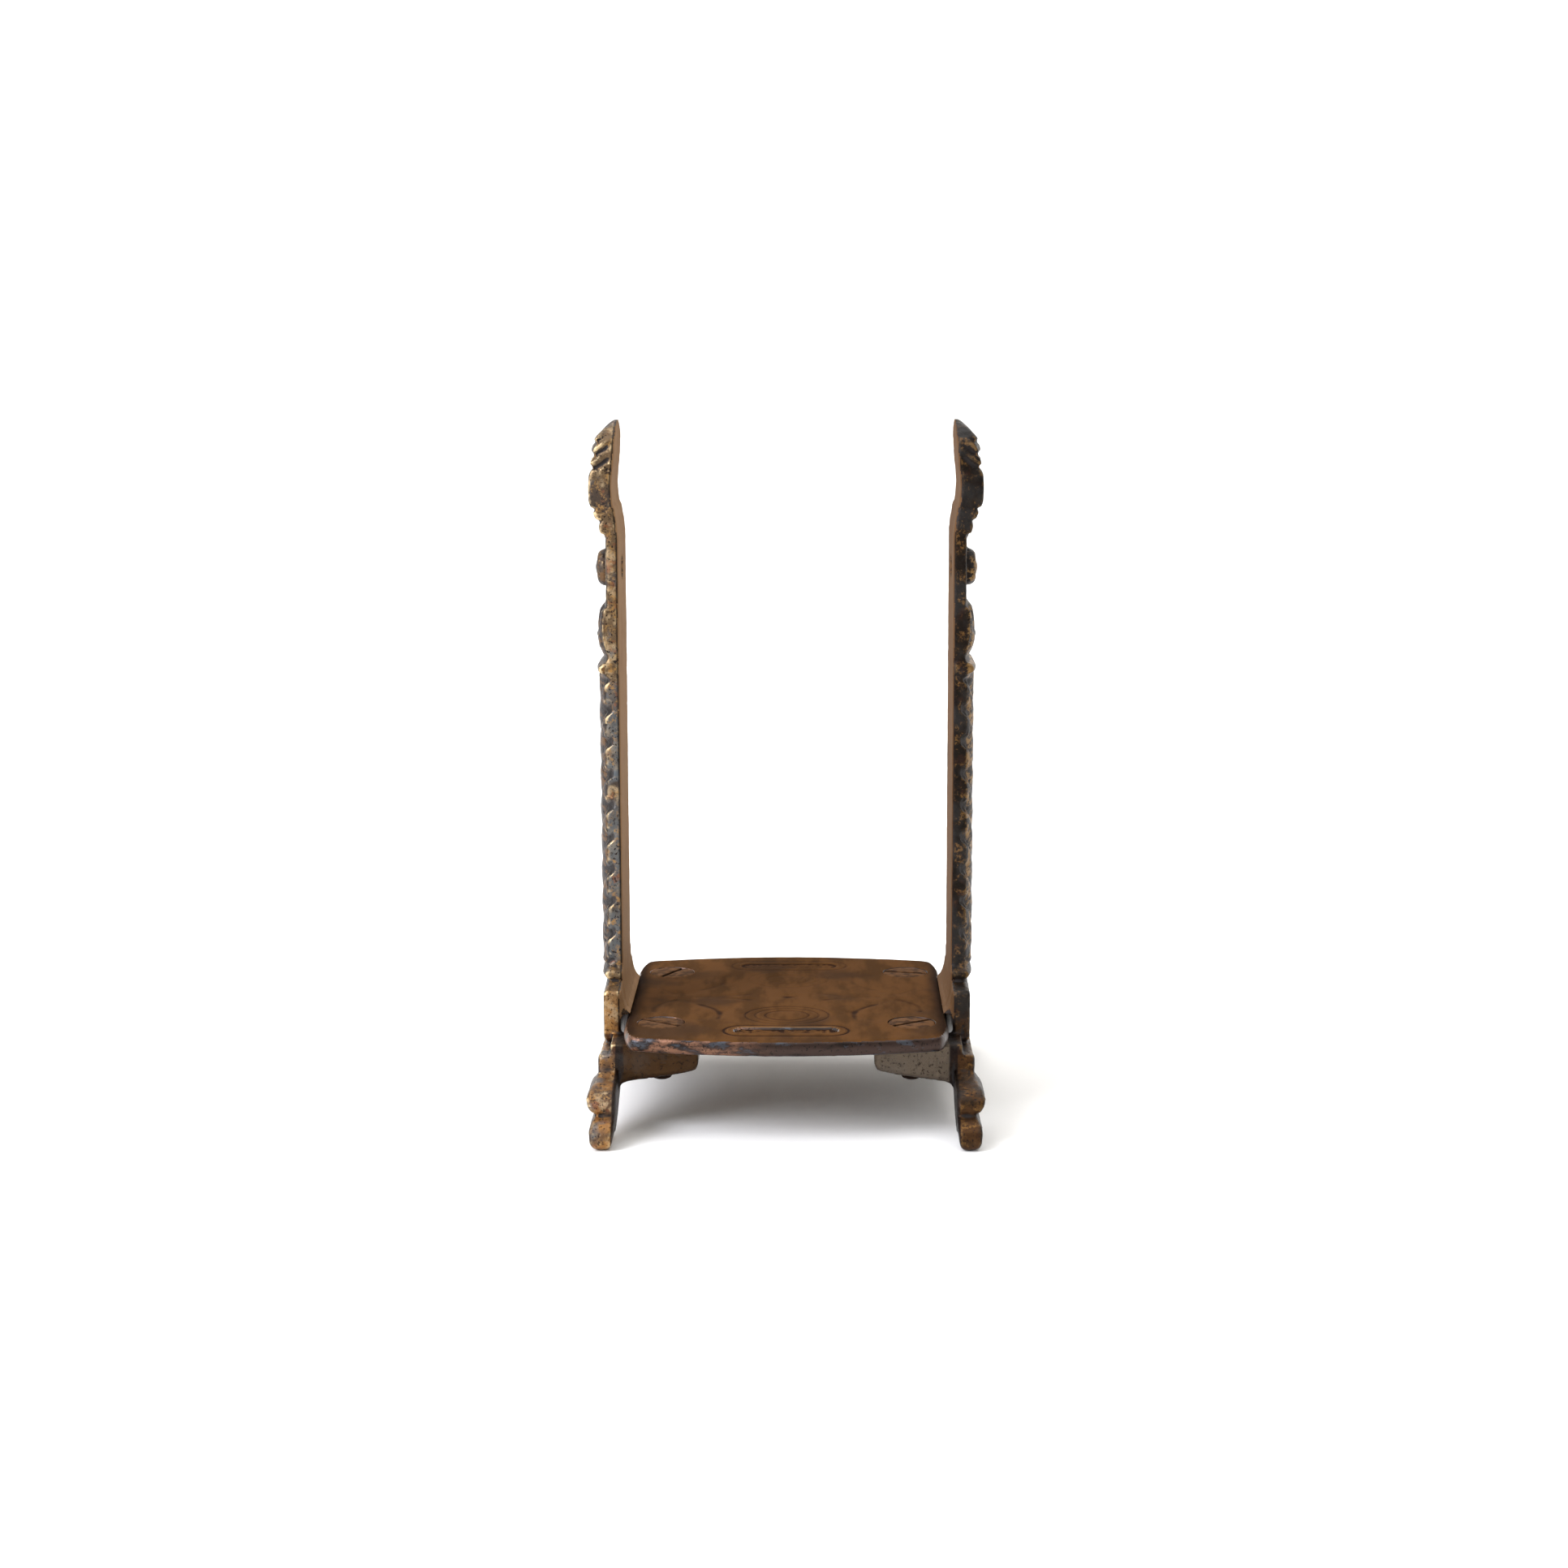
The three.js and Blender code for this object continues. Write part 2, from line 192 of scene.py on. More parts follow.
# %% Smoothing and noise
def averaged(points, edges, rounds):
    """Each point moved halfway to its neighbours' average, several times over."""
    count = len(points)
    ends = np.concatenate([edges[:, 0], edges[:, 1]])
    others = np.concatenate([edges[:, 1], edges[:, 0]])
    degree = np.maximum(np.bincount(ends, minlength=count), 1)
    result = points.copy()
    for _ in range(rounds):
        sums = [np.bincount(ends, weights=result[others, axis], minlength=count) for axis in range(3)]
        result = 0.5 * result + 0.5 * np.stack(sums, 1) / degree[:, None]
    return result


def edges_of(mesh):
    values = np.zeros(len(mesh.edges) * 2, np.int32)
    mesh.edges.foreach_get("vertices", values)
    return values.reshape(-1, 2)


def unevenness(points, grain, seed):
    """Smooth random values from -1 to 1 that change over a distance of one grain."""
    table = np.random.default_rng(seed).uniform(-1, 1, 4096)
    cell = np.floor(points / grain).astype(np.int64)
    part = points / grain - cell
    part = part * part * (3 - 2 * part)
    total = np.zeros(len(points))
    for corner in range(8):
        step = np.array([corner & 1, corner >> 1 & 1, corner >> 2 & 1])
        x, y, z = (cell + step).T
        value = table[(x * 73856093 ^ y * 19349663 ^ z * 83492791) & 4095]
        total += value * np.where(step, part, 1 - part).prod(axis=1)
    return total


def ramp(value, start, end):
    """0 before start and 1 after end, with a soft turn at both."""
    t = np.clip((np.asarray(value, float) - start) / (end - start), 0, 1)
    return t * t * (3 - 2 * t)


def remember_wear(mesh, fine=3, broad=24):
    """Stores how proud each point stands, measured over a small and a larger area."""
    points, normals, edges = points_of(mesh), points_of(mesh, "normal"), edges_of(mesh)
    for name, rounds in (("edge_wear", fine), ("hollow", broad)):
        proud = ((points - averaged(points, edges, rounds)) * normals).sum(1)
        layer = mesh.attributes.new(name, "FLOAT", "POINT")
        layer.data.foreach_set("value", proud.astype(np.float32))
    facing = mesh.attributes.new("facing", "FLOAT_VECTOR", "POINT")
    facing.data.foreach_set("vector", normals.astype(np.float32).ravel())


print("half way along a ramp:", float(ramp(0.5, 0, 1)))


# %% [markdown]
# ## The upright's mouldings
# An upright is a flat bar with a profile down its height, as a wood turner would draw it:
# crest, cushion block, two stepped mouldings, a plain neck with a boss, a leafy capital,
# a round ring, the twisted shaft, a torus and the plinth. A curve with a bevel would give
# one section all the way up. A table gives each height its own section: a row holds the
# height, then the inner face, the outer face at the edge, the outer face at mid-width and
# half the width.

# %% Profile of an upright
COLUMN_HALF = 13.3
PLINTH_HALF = 21.0
ROPE_BOTTOM, ROPE_TOP = 35.6, 105.4
MOULDINGS = np.array([
    [17.2, 0.3, 3.6, 3.7, 20.2], [18.6, 0.3, 3.6, 3.7, 20.2], [19.2, 0.2, 4.3, 4.4, PLINTH_HALF],
    [30.0, 0.2, 4.3, 4.4, PLINTH_HALF], [30.8, 0.2, 4.0, 4.3, 20.4], [31.3, 0.1, 3.4, 4.2, 18.0],
    [31.9, 0.0, 3.0, 4.2, 15.6], [32.3, 0.0, 3.1, 4.3, 15.0], [32.8, 0.0, 3.9, 5.0, 15.5],
    [33.6, 0.0, 4.3, 5.4, 15.6], [34.4, 0.0, 3.9, 5.0, 15.3], [34.9, 0.0, 3.0, 4.5, 14.0],
    [ROPE_BOTTOM, 0.0, 3.3, 5.5, COLUMN_HALF], [ROPE_TOP, 0.0, 3.3, 5.5, COLUMN_HALF],
    [105.7, 0.0, 3.2, 4.8, 13.5], [106.2, 0.0, 4.7, 5.6, 14.0], [107.1, 0.0, 4.9, 5.8, 14.1],
    [108.0, 0.0, 4.5, 5.4, 14.0], [108.6, 0.0, 3.1, 4.0, 13.3], [109.3, 0.0, 2.8, 3.8, COLUMN_HALF],
    [110.2, 0.0, 3.3, 4.8, 13.4], [112.2, 0.0, 4.0, 5.5, 13.8], [114.8, 0.0, 4.3, 5.8, 13.9],
    [118.0, 0.0, 4.2, 5.6, 13.8], [120.8, 0.0, 3.8, 5.0, 13.6], [122.0, 0.0, 3.0, 4.2, 13.4],
    [122.8, 0.0, 3.0, 3.4, COLUMN_HALF], [138.1, 0.0, 3.0, 3.3, COLUMN_HALF],
    [138.5, 0.0, 2.5, 3.0, 13.1], [138.9, 0.1, 4.1, 4.5, COLUMN_HALF],
    [140.4, 0.2, 4.5, 4.9, 13.3], [141.3, 0.3, 4.3, 4.7, 13.2], [141.8, 0.4, 3.6, 4.1, 12.9],
    [142.3, 0.5, 5.2, 5.6, 12.9], [143.8, 0.7, 5.9, 6.2, 12.7], [144.6, 0.8, 4.9, 5.4, 12.3],
    [145.1, 1.2, 6.4, 6.8, 12.3], [146.4, 1.4, 6.9, 7.2, 12.2], [149.8, 1.6, 7.0, 7.3, 12.1],
    [152.6, 1.4, 6.8, 7.1, 12.0], [153.6, 1.3, 6.3, 6.6, 11.8], [154.1, 1.2, 5.3, 5.7, 11.6],
    [155.0, 1.1, 6.5, 6.8, 11.6], [156.3, 1.0, 6.3, 6.6, 11.5], [157.1, 0.9, 5.3, 5.7, 11.4],
    [158.0, 0.9, 6.3, 6.6, 11.4], [159.3, 0.8, 5.9, 6.2, 11.3], [160.0, 0.8, 5.0, 5.4, 11.1],
    [160.7, 0.7, 5.7, 5.9, 10.9], [162.1, 0.6, 4.5, 4.8, 9.2], [163.5, 0.6, 3.2, 3.5, 7.0],
    [164.6, 0.6, 1.9, 2.2, 4.2], [height, 0.5, 1.4, 1.5, 2.6],
])
SWELL_POWER = 4
print("profile of", len(MOULDINGS), "rows, from", MOULDINGS[0, 0], "to", round(height, 1), "mm")

# %% [markdown]
# ## The twisted shaft
# The shaft is carved as a rope: rounded ribs lean across it and meet in narrow valleys.
# At both edges of the bar a flat rail runs down the rope, and each valley leaves it as a
# notch, steep above and sloping below, which is what the shaft shows from the front.
# A swept and twisted curve would make a round rope. This one is half sunk in a flat bar,
# so it is a depth to take off the bar at each place.

# %% Depth of the rope's valleys
ROPE_PITCH = 7.7
ROPE_LEAN = 1.0
ROPE_START = 99.0
RIB_DEPTH = 2.1
NOTCH_DEPTH = 1.6
RAIL_WIDTH = 1.2


def rope_valley(y, z, half):
    """How deep the rope is cut at a place across the bar and up it."""
    turns = (z - ROPE_START + ROPE_LEAN * (y + COLUMN_HALF)) / ROPE_PITCH
    from_valley = (turns + 0.5) % 1 - 0.5
    rib = RIB_DEPTH * (1 - np.sqrt(np.abs(np.sin(math.pi * turns))))
    notch = NOTCH_DEPTH * ramp(from_valley, -0.42, -0.22) * (1 - ramp(from_valley, 0.02, 0.11))
    rail = ramp(np.abs(y), half - RAIL_WIDTH - 0.8, half - RAIL_WIDTH + 0.2)
    ends = ramp(z, ROPE_BOTTOM, ROPE_BOTTOM + 1.2) * (1 - ramp(z, ROPE_TOP - 1.2, ROPE_TOP))
    return ends * (rib * (1 - rail) + notch * rail)


print("rope of", round((ROPE_TOP - ROPE_BOTTOM) / ROPE_PITCH, 1), "turns")


# %% [markdown]
# ## Leaves, beads and the neck
# The capital has two rows of leaves, the upper ones between the tips of the lower. Fine
# beads run along the two fillets under the cushion block, and a tongue tapers down the neck
# to the boss. On the real stand such relief is in the pattern that makes the mould. Each
# leaf could be a body of its own, but a height added to the face keeps the skin whole.

# %% Relief on the outer face, in millimetres outwards
LEAF_PITCH = 5.3
BEAD_PITCH, BEAD_RISE, BEADS_HALF = 1.5, 0.3, 11.4
BEAD_HEIGHTS = (141.9, 144.9)
BOSS_HEIGHT = 130.0
BOSS_RADIUS = 4.4


def leaf_row(y, z, foot, tip, offset, rise):
    """A row of leaves that stand out more towards their rounded tips."""
    across = ((y / LEAF_PITCH + offset) % 1 - 0.5) * 2
    along = np.clip((z - foot) / (tip - foot), 0, 1)
    inside = 1 - (across / np.sqrt(np.maximum(1 - along ** 4, 1e-6))) ** 2
    blade = rise * (0.35 + 0.65 * along) * np.sqrt(np.clip(inside, 0, 1))
    vein = 0.3 * np.exp(-((across / 0.16) ** 2)) * np.clip(inside, 0, 1)
    return (blade - vein) * ((z > foot) & (z < tip))


def outer_relief(y, z):
    """How far the outer face stands out at a place across the bar and up it."""
    lower = leaf_row(y, z, 109.4, 115.6, 0.5, 0.9)
    upper = leaf_row(y, z, 112.8, 121.8, 0.0, 0.9)
    capital = np.maximum(lower, upper) - 0.7 * (ramp(z, 109.2, 110.0) - ramp(z, 121.6, 122.4))
    bead = BEAD_RISE * np.abs(np.sin(math.pi * y / BEAD_PITCH))
    beads = sum(
        bead * np.exp(-(((z - at) / 0.45) ** 2)) * (np.abs(y) < BEADS_HALF) for at in BEAD_HEIGHTS
    )
    taper = 1.2 + 3.0 * np.clip((z - 134) / 4.5, 0, 1)
    tongue = 0.9 * (1 - ramp(np.abs(y), taper - 0.5, taper + 0.5)) * ramp(z, 133, 134)
    tongue = tongue * (1 - ramp(z, 138.0, 138.8))
    panel = (1 - ramp(np.abs(y), 10.4, 11.4)) * ramp(z, 123.6, 124.6) * (1 - ramp(z, 137, 138))
    sunk = (1 - ramp(np.abs(y), 17.0, 18.0)) * ramp(z, 21.0, 21.9) * (1 - ramp(z, 27.6, 28.5))
    lozenge = np.clip(1 - np.abs(y) / 9 - np.abs(z - 24.8) / 2.8, 0, 1)
    crest = ramp(z, 154.2, 155.5) * np.clip(np.abs(np.cos(np.arctan2(y, z - 147) * 6.5)), 0, 1)
    fan = -0.9 * ramp(z, 154.2, 155.5) + 0.9 * crest
    return capital + beads + tongue - 0.5 * panel - 0.6 * sunk + 0.9 * lozenge * sunk + fan * 0.8


print("leaves", LEAF_PITCH, "mm apart, boss", 2 * BOSS_RADIUS, "mm across")


# %% Rings of an upright, stacked into one body
RING_STEP = 0.3
ACROSS = 88
EDGE_ROUND = 0.45


def upright_ring(z):
    """The bar's outline at one height, with its inner corners rounded."""
    inner, edge, middle, half = (np.interp(z, MOULDINGS[:, 0], MOULDINGS[:, c]) for c in (1, 2, 3, 4))
    soft = min(EDGE_ROUND, (edge - inner) / 3, half / 3)
    y = np.linspace(-half + soft * 0.4, half - soft * 0.4, ACROSS)
    swell = (middle - edge) * (1 - (y / half) ** SWELL_POWER)
    outer = edge + swell + outer_relief(y, z) - rope_valley(y, z, half)
    outer = np.clip(outer, inner + 0.6, CREST_REACH)
    front, back = outer[0] - soft, outer[-1] - soft
    ring = [(inner, half - soft, z), (inner, soft - half, z), (inner + soft, -half, z), (front, -half, z)]
    ring += [(x, across, z) for x, across in zip(outer, y)]
    return ring + [(back, half, z), (inner + soft, half, z)]


heights = np.arange(MOULDINGS[0, 0], height, RING_STEP)
upright = lofted([upright_ring(z) for z in [*heights, height]])
print("upright", len(upright[0]), "points in", len(heights) + 1, "rings")

# %% [markdown]
# ## Feet and lugs
# Under the plinth a low apron arches down to two feet. Seen from the front, a foot is a
# block, then a bulging knuckle, a groove, and a toe that tapers to the table. The lugs that
# carry the shelf point into the bay, and their undersides rise towards their ends. Boxes
# with bevels would be quicker, but a foot's curves show in front view, so it is lofted.

# %% Apron
ARCH_TOP = 12.6
APRON_INNER, APRON_THICK = 0.3, 4.7
APRON_TOP = 17.8


def bezier(a, b, c, d, steps=14):
    """The points of a cubic curve after its first."""
    t = np.linspace(0, 1, steps + 1)[1:, None]
    a, b, c, d = (np.array(p, float) for p in (a, b, c, d))
    curve = (1 - t) ** 3 * a + 3 * (1 - t) ** 2 * t * b + 3 * (1 - t) * t * t * c + t ** 3 * d
    return [tuple(p) for p in curve]


arch = [(-1, ARCH_TOP), (0, ARCH_TOP)]
arch += bezier((0, ARCH_TOP), (9, ARCH_TOP), (18, 9.8), (27, 6.2))
arch += bezier((27, 6.2), (31, 4.6), (35, 2.6), (40.5, 2.2))
apron_outline = arch + [(44, 4), (43, 8), (40, 12), (30.8, 13.4), (30.5, APRON_TOP), (-1, APRON_TOP)]
apron = slab(apron_outline, APRON_INNER, APRON_THICK)
print("apron", len(apron_outline), "corners, arch", ARCH_TOP, "mm high")

# %% A foot, from the table up: height, inner face, outer face, front, back
FOOT_ROUND = 1.0
FOOT_STEP = 0.25
FOOT = np.array([
    [0.05, 1.7, 4.2, 48.2, 43.4], [0.3, 1.3, 4.8, 49.0, 42.8], [0.9, 0.9, 5.4, 49.7, 42.0],
    [2.0, 0.6, 5.8, foot_reach, 40.5], [4.2, 0.4, 6.0, 49.6, 37.0], [5.6, 0.3, 5.7, 48.2, 34.0],
    [6.4, 0.3, 5.2, 46.4, 32.0], [6.9, 0.2, 4.7, 44.9, 31.0], [7.3, 0.2, 4.8, 44.4, 30.5],
    [7.9, 0.2, 5.8, 44.9, 29.6], [9.2, 0.2, 6.6, 45.0, 29.0], [10.6, 0.2, 6.9, 44.2, 28.5],
    [12.0, 0.2, 6.3, 42.0, 28.5], [13.0, 0.2, 5.4, 38.2, 28.5], [13.6, 0.2, 4.9, 34.2, 28.5],
    [14.6, 0.2, 4.9, 32.2, 28.5], [16.5, 0.2, 5.0, 31.9, 28.5], [17.7, 0.2, 4.9, 31.7, 28.5],
    [18.1, 0.4, 4.6, 31.3, 28.7],
])


def foot_ring(z):
    """A foot's outline at one height, with four rounded corners."""
    inner, outer, front, back = (np.interp(z, FOOT[:, 0], FOOT[:, c]) for c in (1, 2, 3, 4))
    corner = min(FOOT_ROUND, (outer - inner) / 3)
    ring = []
    for x, y, start in ((inner, back, 180), (outer, back, 270), (outer, front, 0), (inner, front, 90)):
        centre_x = x + corner if x == inner else x - corner
        centre_y = y + corner if y == back else y - corner
        for angle in np.radians([start, start + 30, start + 60, start + 90]):
            ring.append((centre_x + corner * math.cos(angle), centre_y + corner * math.sin(angle), z))
    return ring


foot = lofted([foot_ring(z) for z in np.arange(FOOT[0, 0], FOOT[-1, 0], FOOT_STEP)])
print("foot", len(foot[0]), "points, its toe", round(foot_reach, 1), "mm in front of the middle")

# %% Lugs, coves and the boss
LUG_FRONT, LUG_BACK = 31.5, 20.0
LUG_TOP = plate_low.z - 0.3
LUG_REACH = 20.7 - bay_half
lug_outline = [(2, LUG_TOP), (2, 9.7), (0, 9.9), (-0.6, 10.9), (-2, 11.5)]
lug_outline += [(-7, 12.2), (-12, 12.9), (LUG_REACH + 1.8, 13.9), (LUG_REACH + 0.6, 14.3)]
lug_outline += [(LUG_REACH, 15.7), (LUG_REACH, LUG_TOP)]
lug = lofted([
    [(x, y, z + (LUG_TOP - z) * drawn) for x, z in lug_outline]
    for y, drawn in ((LUG_BACK, 0.12), (LUG_BACK + 0.6, 0), (LUG_FRONT - 0.6, 0), (LUG_FRONT, 0.12))
])

# the cove fills the corner between the inner face and the shelf: reach, then height
COVE_FOOT, COVE_TOP = 24.9, 33
cove_outline = [(1, COVE_FOOT), (1, COVE_TOP), (0, COVE_TOP), (-0.15, 31), (-0.5, 28.6)]
cove_outline += [(-1.1, 26.6), (-2, 25.3), (-2, COVE_FOOT)]
COVE_ENDS = ((14.0, 1), (15.4, 0.72), (19.5, 0.66), (20.3, 0.05))
cove = lofted([
    [(x * min(1, tall + 0.3), y, COVE_FOOT + (z - COVE_FOOT) * tall) for x, z in cove_outline]
    for y, tall in [(-y, tall) for y, tall in COVE_ENDS[::-1]] + list(COVE_ENDS)
])
boss_profile = [(0.01, 1), (BOSS_RADIUS, 1), (BOSS_RADIUS, 4.4), (3.9, 5.4), (3.1, 5.9)]
boss_profile += [(2.5, 5.7), (2.1, 5.9), (0.01, 6.4)]
boss = turned(boss_profile, (0, BOSS_HEIGHT), "x")
print("lug reaches", round(-LUG_REACH, 1), "mm into the bay, cove from", COVE_FOOT, "to", COVE_TOP, "mm")

# %% [markdown]
# ## One casting out of many bodies
# Boolean unions would join the bodies with sharp seams. A voxel remesh melts them into one
# skin with small fillets where they meet, as metal does in a mould. The hollow behind the
# boss, the arch's border and the crest's flutes are then made by moving points, and the
# screw holes are cut last, so that they stay crisp.

# %% Melt the bodies together
CASTING_VOXEL = 0.38
front_half = [apron, foot, lug]
bodies = [upright, cove, boss] + front_half + [mirrored_front_to_back(body) for body in front_half]
casting = worked(mesh_of("casting", bodies), "REMESH", mode="VOXEL", voxel_size=CASTING_VOXEL)
points = averaged(points_of(casting), edges_of(casting), 1)
set_points(casting, points)

# %% Relief on the skin, and the screw holes
ARCH_BORDER_RISE, SCROLL_RISE, SCROLL_RADIUS = 0.45, 0.4, 2.8
SCROLL_Y, SCROLL_Z = 24, 13.2
DISH_DEPTH = 2.0
FLUTE_FROM, FLUTE_PITCH, FLUTE_SLOPE, FLUTE_DEPTH = 154.1, 2.95, 0.62, 0.8
HOLE_RADIUS = 3.0


def casting_relief(points, normals):
    """Relief that is added after the bodies have melted together."""
    x, y, z = points.T
    arch_y, arch_z = zip(*arch)
    above_arch = z - np.interp(np.abs(y), arch_y, arch_z)
    low = 1 - ramp(z, 16.6, 17.2)
    border = low * np.exp(-(((above_arch - 0.9) / 0.6) ** 2)) * (np.abs(y) < 41)
    from_scroll = np.hypot(np.abs(y) - SCROLL_Y, (z - SCROLL_Z) * 1.2)
    scroll = low * np.exp(-(((from_scroll - SCROLL_RADIUS) / 0.5) ** 2)) * ramp(above_arch, 1.5, 2.5)
    from_boss = np.hypot(y, z - BOSS_HEIGHT)
    dish = DISH_DEPTH * (1 - ramp(from_boss, 2.2, 3.1))
    slant = (z + FLUTE_SLOPE * x - FLUTE_FROM - FLUTE_SLOPE * 5.6) / FLUTE_PITCH
    flute = np.clip(1 - np.abs((slant + 0.5) % 1 - 0.5) / 0.46, 0, 1) ** 1.4
    flute = flute * ramp(z, 153.4, 154.2) * (1 - ramp(z, 161.5, 163))
    flute = flute * ramp(np.abs(normals[:, 1]), 0.5, 0.8)
    points[:, 1] -= np.sign(y) * FLUTE_DEPTH * flute * ramp(x, 1.4, 3.0)
    outwards = ramp(normals[:, 0], 0.5, 0.8)
    inwards = ramp(-normals[:, 0], 0.5, 0.8) * (z > 120)
    points[:, 0] += outwards * (ARCH_BORDER_RISE * border + SCROLL_RISE * scroll) + inwards * dish
    return points


points = casting_relief(points, points_of(casting, "normal"))
set_points(casting, points)
shank_space = [(HOLE_RADIUS, 0), (HOLE_RADIUS, 30)]
holes = [turned(shank_space, (screw_x - bay_half, side * screw_y), "z") for side in (-1, 1)]
casting = cut(casting, holes)
print("casting", len(casting.vertices), "points")

# %% [markdown]
# ## Two castings from one pattern
# The left casting is the right one mirrored. A Mirror modifier would make their skins
# the same, and no two sand castings are, so each gets its own unevenness: slow waves, a
# coarse grain, and a few deeper pits.

# %% The skin of one casting
WAVE_DEPTH, GRAIN_DEPTH, PIT_DEPTH = 0.05, 0.05, 0.14
INNER_FACE_ROUGH = 0.35


def finished_casting(name, side, seed):
    """One side's casting with its own skin. The inner face is smoother than the rest."""
    mesh = casting.copy()
    mesh.name = name
    points, normals = points_of(mesh), points_of(mesh, "normal")
    thickness = points[:, 0] - np.interp(points[:, 2], MOULDINGS[:, 0], MOULDINGS[:, 1])
    layer = mesh.attributes.new("from_bay", "FLOAT", "POINT")
    layer.data.foreach_set("value", thickness.astype(np.float32))
    rough = INNER_FACE_ROUGH + 0.65 * ramp(normals[:, 0], -0.6, -0.2)
    skin = WAVE_DEPTH * unevenness(points, 3.1, seed) + GRAIN_DEPTH * unevenness(points, 1.1, seed + 1)
    pits = ramp(unevenness(points, 0.9, seed + 2), 0.45, 0.8) * PIT_DEPTH
    points += normals * ((skin - pits) * rough)[:, None]
    points[:, 2] = np.clip(points[:, 2], 0, height)
    points[:, 0] = side * (bay_half + np.minimum(points[:, 0], CREST_REACH))
    points[:, 1] = np.clip(points[:, 1], -foot_reach, foot_reach)
    set_points(mesh, points)
    if side < 0:
        mesh.flip_normals()
    remember_wear(mesh)
    print(name, "has pits", PIT_DEPTH, "mm deep")
    return mesh


# %% A finished mesh becomes a piece of the stand
def placed(mesh, name, node, materials, which=None):
    """Turns a mesh in millimetres into a piece of the stand, with a material for each face."""
    set_points(mesh, points_of(mesh) * MM)
    mesh.shade_smooth()
    mesh.materials.clear()
    for material in materials:
        mesh.materials.append(material)
    chosen = np.zeros(len(mesh.polygons)) if which is None else which
    mesh.polygons.foreach_set("material_index", chosen.astype(np.int32))
    piece = bpy.data.objects.new(name, mesh)
    bpy.context.collection.objects.link(piece)
    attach(piece, "root")
    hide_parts(node)
    print(name, len(mesh.polygons), "faces")
    return piece


def face_values(mesh, what):
    """The middle or the normal of every face, as an array."""
    values = np.zeros(len(mesh.polygons) * 3, np.float32)
    mesh.polygons.foreach_get(what, values)
    return values.reshape(-1, 3)


# %% [markdown]
# ## The shelf plate
# The plate is a thinner casting with a rounded rim, straight sides and bowed ends. Its top
# has low relief that has been polished nearly away: a long sunken panel near each bowed end,
# rings round a flat oval, and soft scrolls. The pattern is the same left to right and front
# to back, and half as deep at the back. A displacement texture would need an unwrapped
# top. The relief is 0.2 to 0.5 mm deep, so it is a height added to the top's points.

# %% Outline and rim of the plate
PLATE_HALF_WIDTH = plate_high.x
PLATE_BOW = 4.7
PLATE_HALF_DEPTH = plate_high.y - PLATE_BOW
CORNER_ACROSS, CORNER_ALONG = 3.2, 14.0
plate_bottom, plate_top = plate_low.z, plate_high.z
plate_thick = plate_top - plate_bottom


def plate_ring(inset, z):
    """The plate's outline at one height, drawn in by the inset."""
    half, depth = PLATE_HALF_WIDTH - inset, PLATE_HALF_DEPTH - inset
    across, along = CORNER_ACROSS - inset, CORNER_ALONG - inset
    turns = np.linspace(0, math.pi / 2 * 0.86, 14)
    quarter = [(half - across * (1 - math.cos(a)), depth - along * (1 - math.sin(a))) for a in turns]
    start = quarter[-1][0]
    for x in np.linspace(start, 0, 25)[1:]:
        quarter.append((x, depth + PLATE_BOW * (1 - (x / start) ** 2)))
    back = quarter + [(-x, y) for x, y in quarter[-2::-1]]
    front = [(x, -y) for x, y in back[::-1]]
    return [(x, y, z) for x, y in back + front]


rim = []
for angle in np.linspace(-math.pi / 2, math.pi / 2, 15):
    inset = (1.5 if angle > 0 else 0.7) * (1 - math.cos(angle))
    rim.append(plate_ring(inset, plate_bottom + plate_thick * (0.5 + 0.5 * math.sin(angle))))
plate_body = lofted(rim)
print("plate", round(2 * PLATE_HALF_WIDTH, 1), "mm wide,", round(plate_thick, 1), "mm thick")

# %% Relief of the plate's top, in millimetres upwards
PANEL_Y = 33.2
PANEL_LENGTH, PANEL_WIDTH = 24.6, 5.2
OVAL_Y = 18.4
PLATE_SEED = 41


def stadium_distance(x, y, length, width):
    """Distance outside a long shape with round ends, negative inside it."""
    straight = (length - width) / 2
    return np.hypot(np.maximum(np.abs(x) - straight, 0), y) - width / 2


def stroke(x, y, start, end, width, bend):
    """Nearness, from 0 to 1, to a bent stroke between two places."""
    (x0, y0), (x1, y1) = start, end
    length = math.hypot(x1 - x0, y1 - y0)
    along = ((x - x0) * (x1 - x0) + (y - y0) * (y1 - y0)) / length ** 2
    off = ((x - x0) * (y1 - y0) - (y - y0) * (x1 - x0)) / length
    off = off - bend * np.sin(math.pi * np.clip(along, 0, 1))
    ends = ramp(along, -0.08, 0.12) * (1 - ramp(along, 0.88, 1.08))
    return np.exp(-((off / width) ** 2)) * ends


STROKES = (
    ((21.9, 24.0), (13.4, 7.2), 2.2, 2.0), ((28.9, 1.4), (15.5, 15.6), 2.0, -2.4),
    ((16.5, 23.0), (22.5, 6.5), 1.2, 3.0), ((32.0, 16.0), (27.5, 3.0), 1.3, -1.8),
    ((8.0, 3.5), (24.0, 0.5), 1.4, 1.5),
)


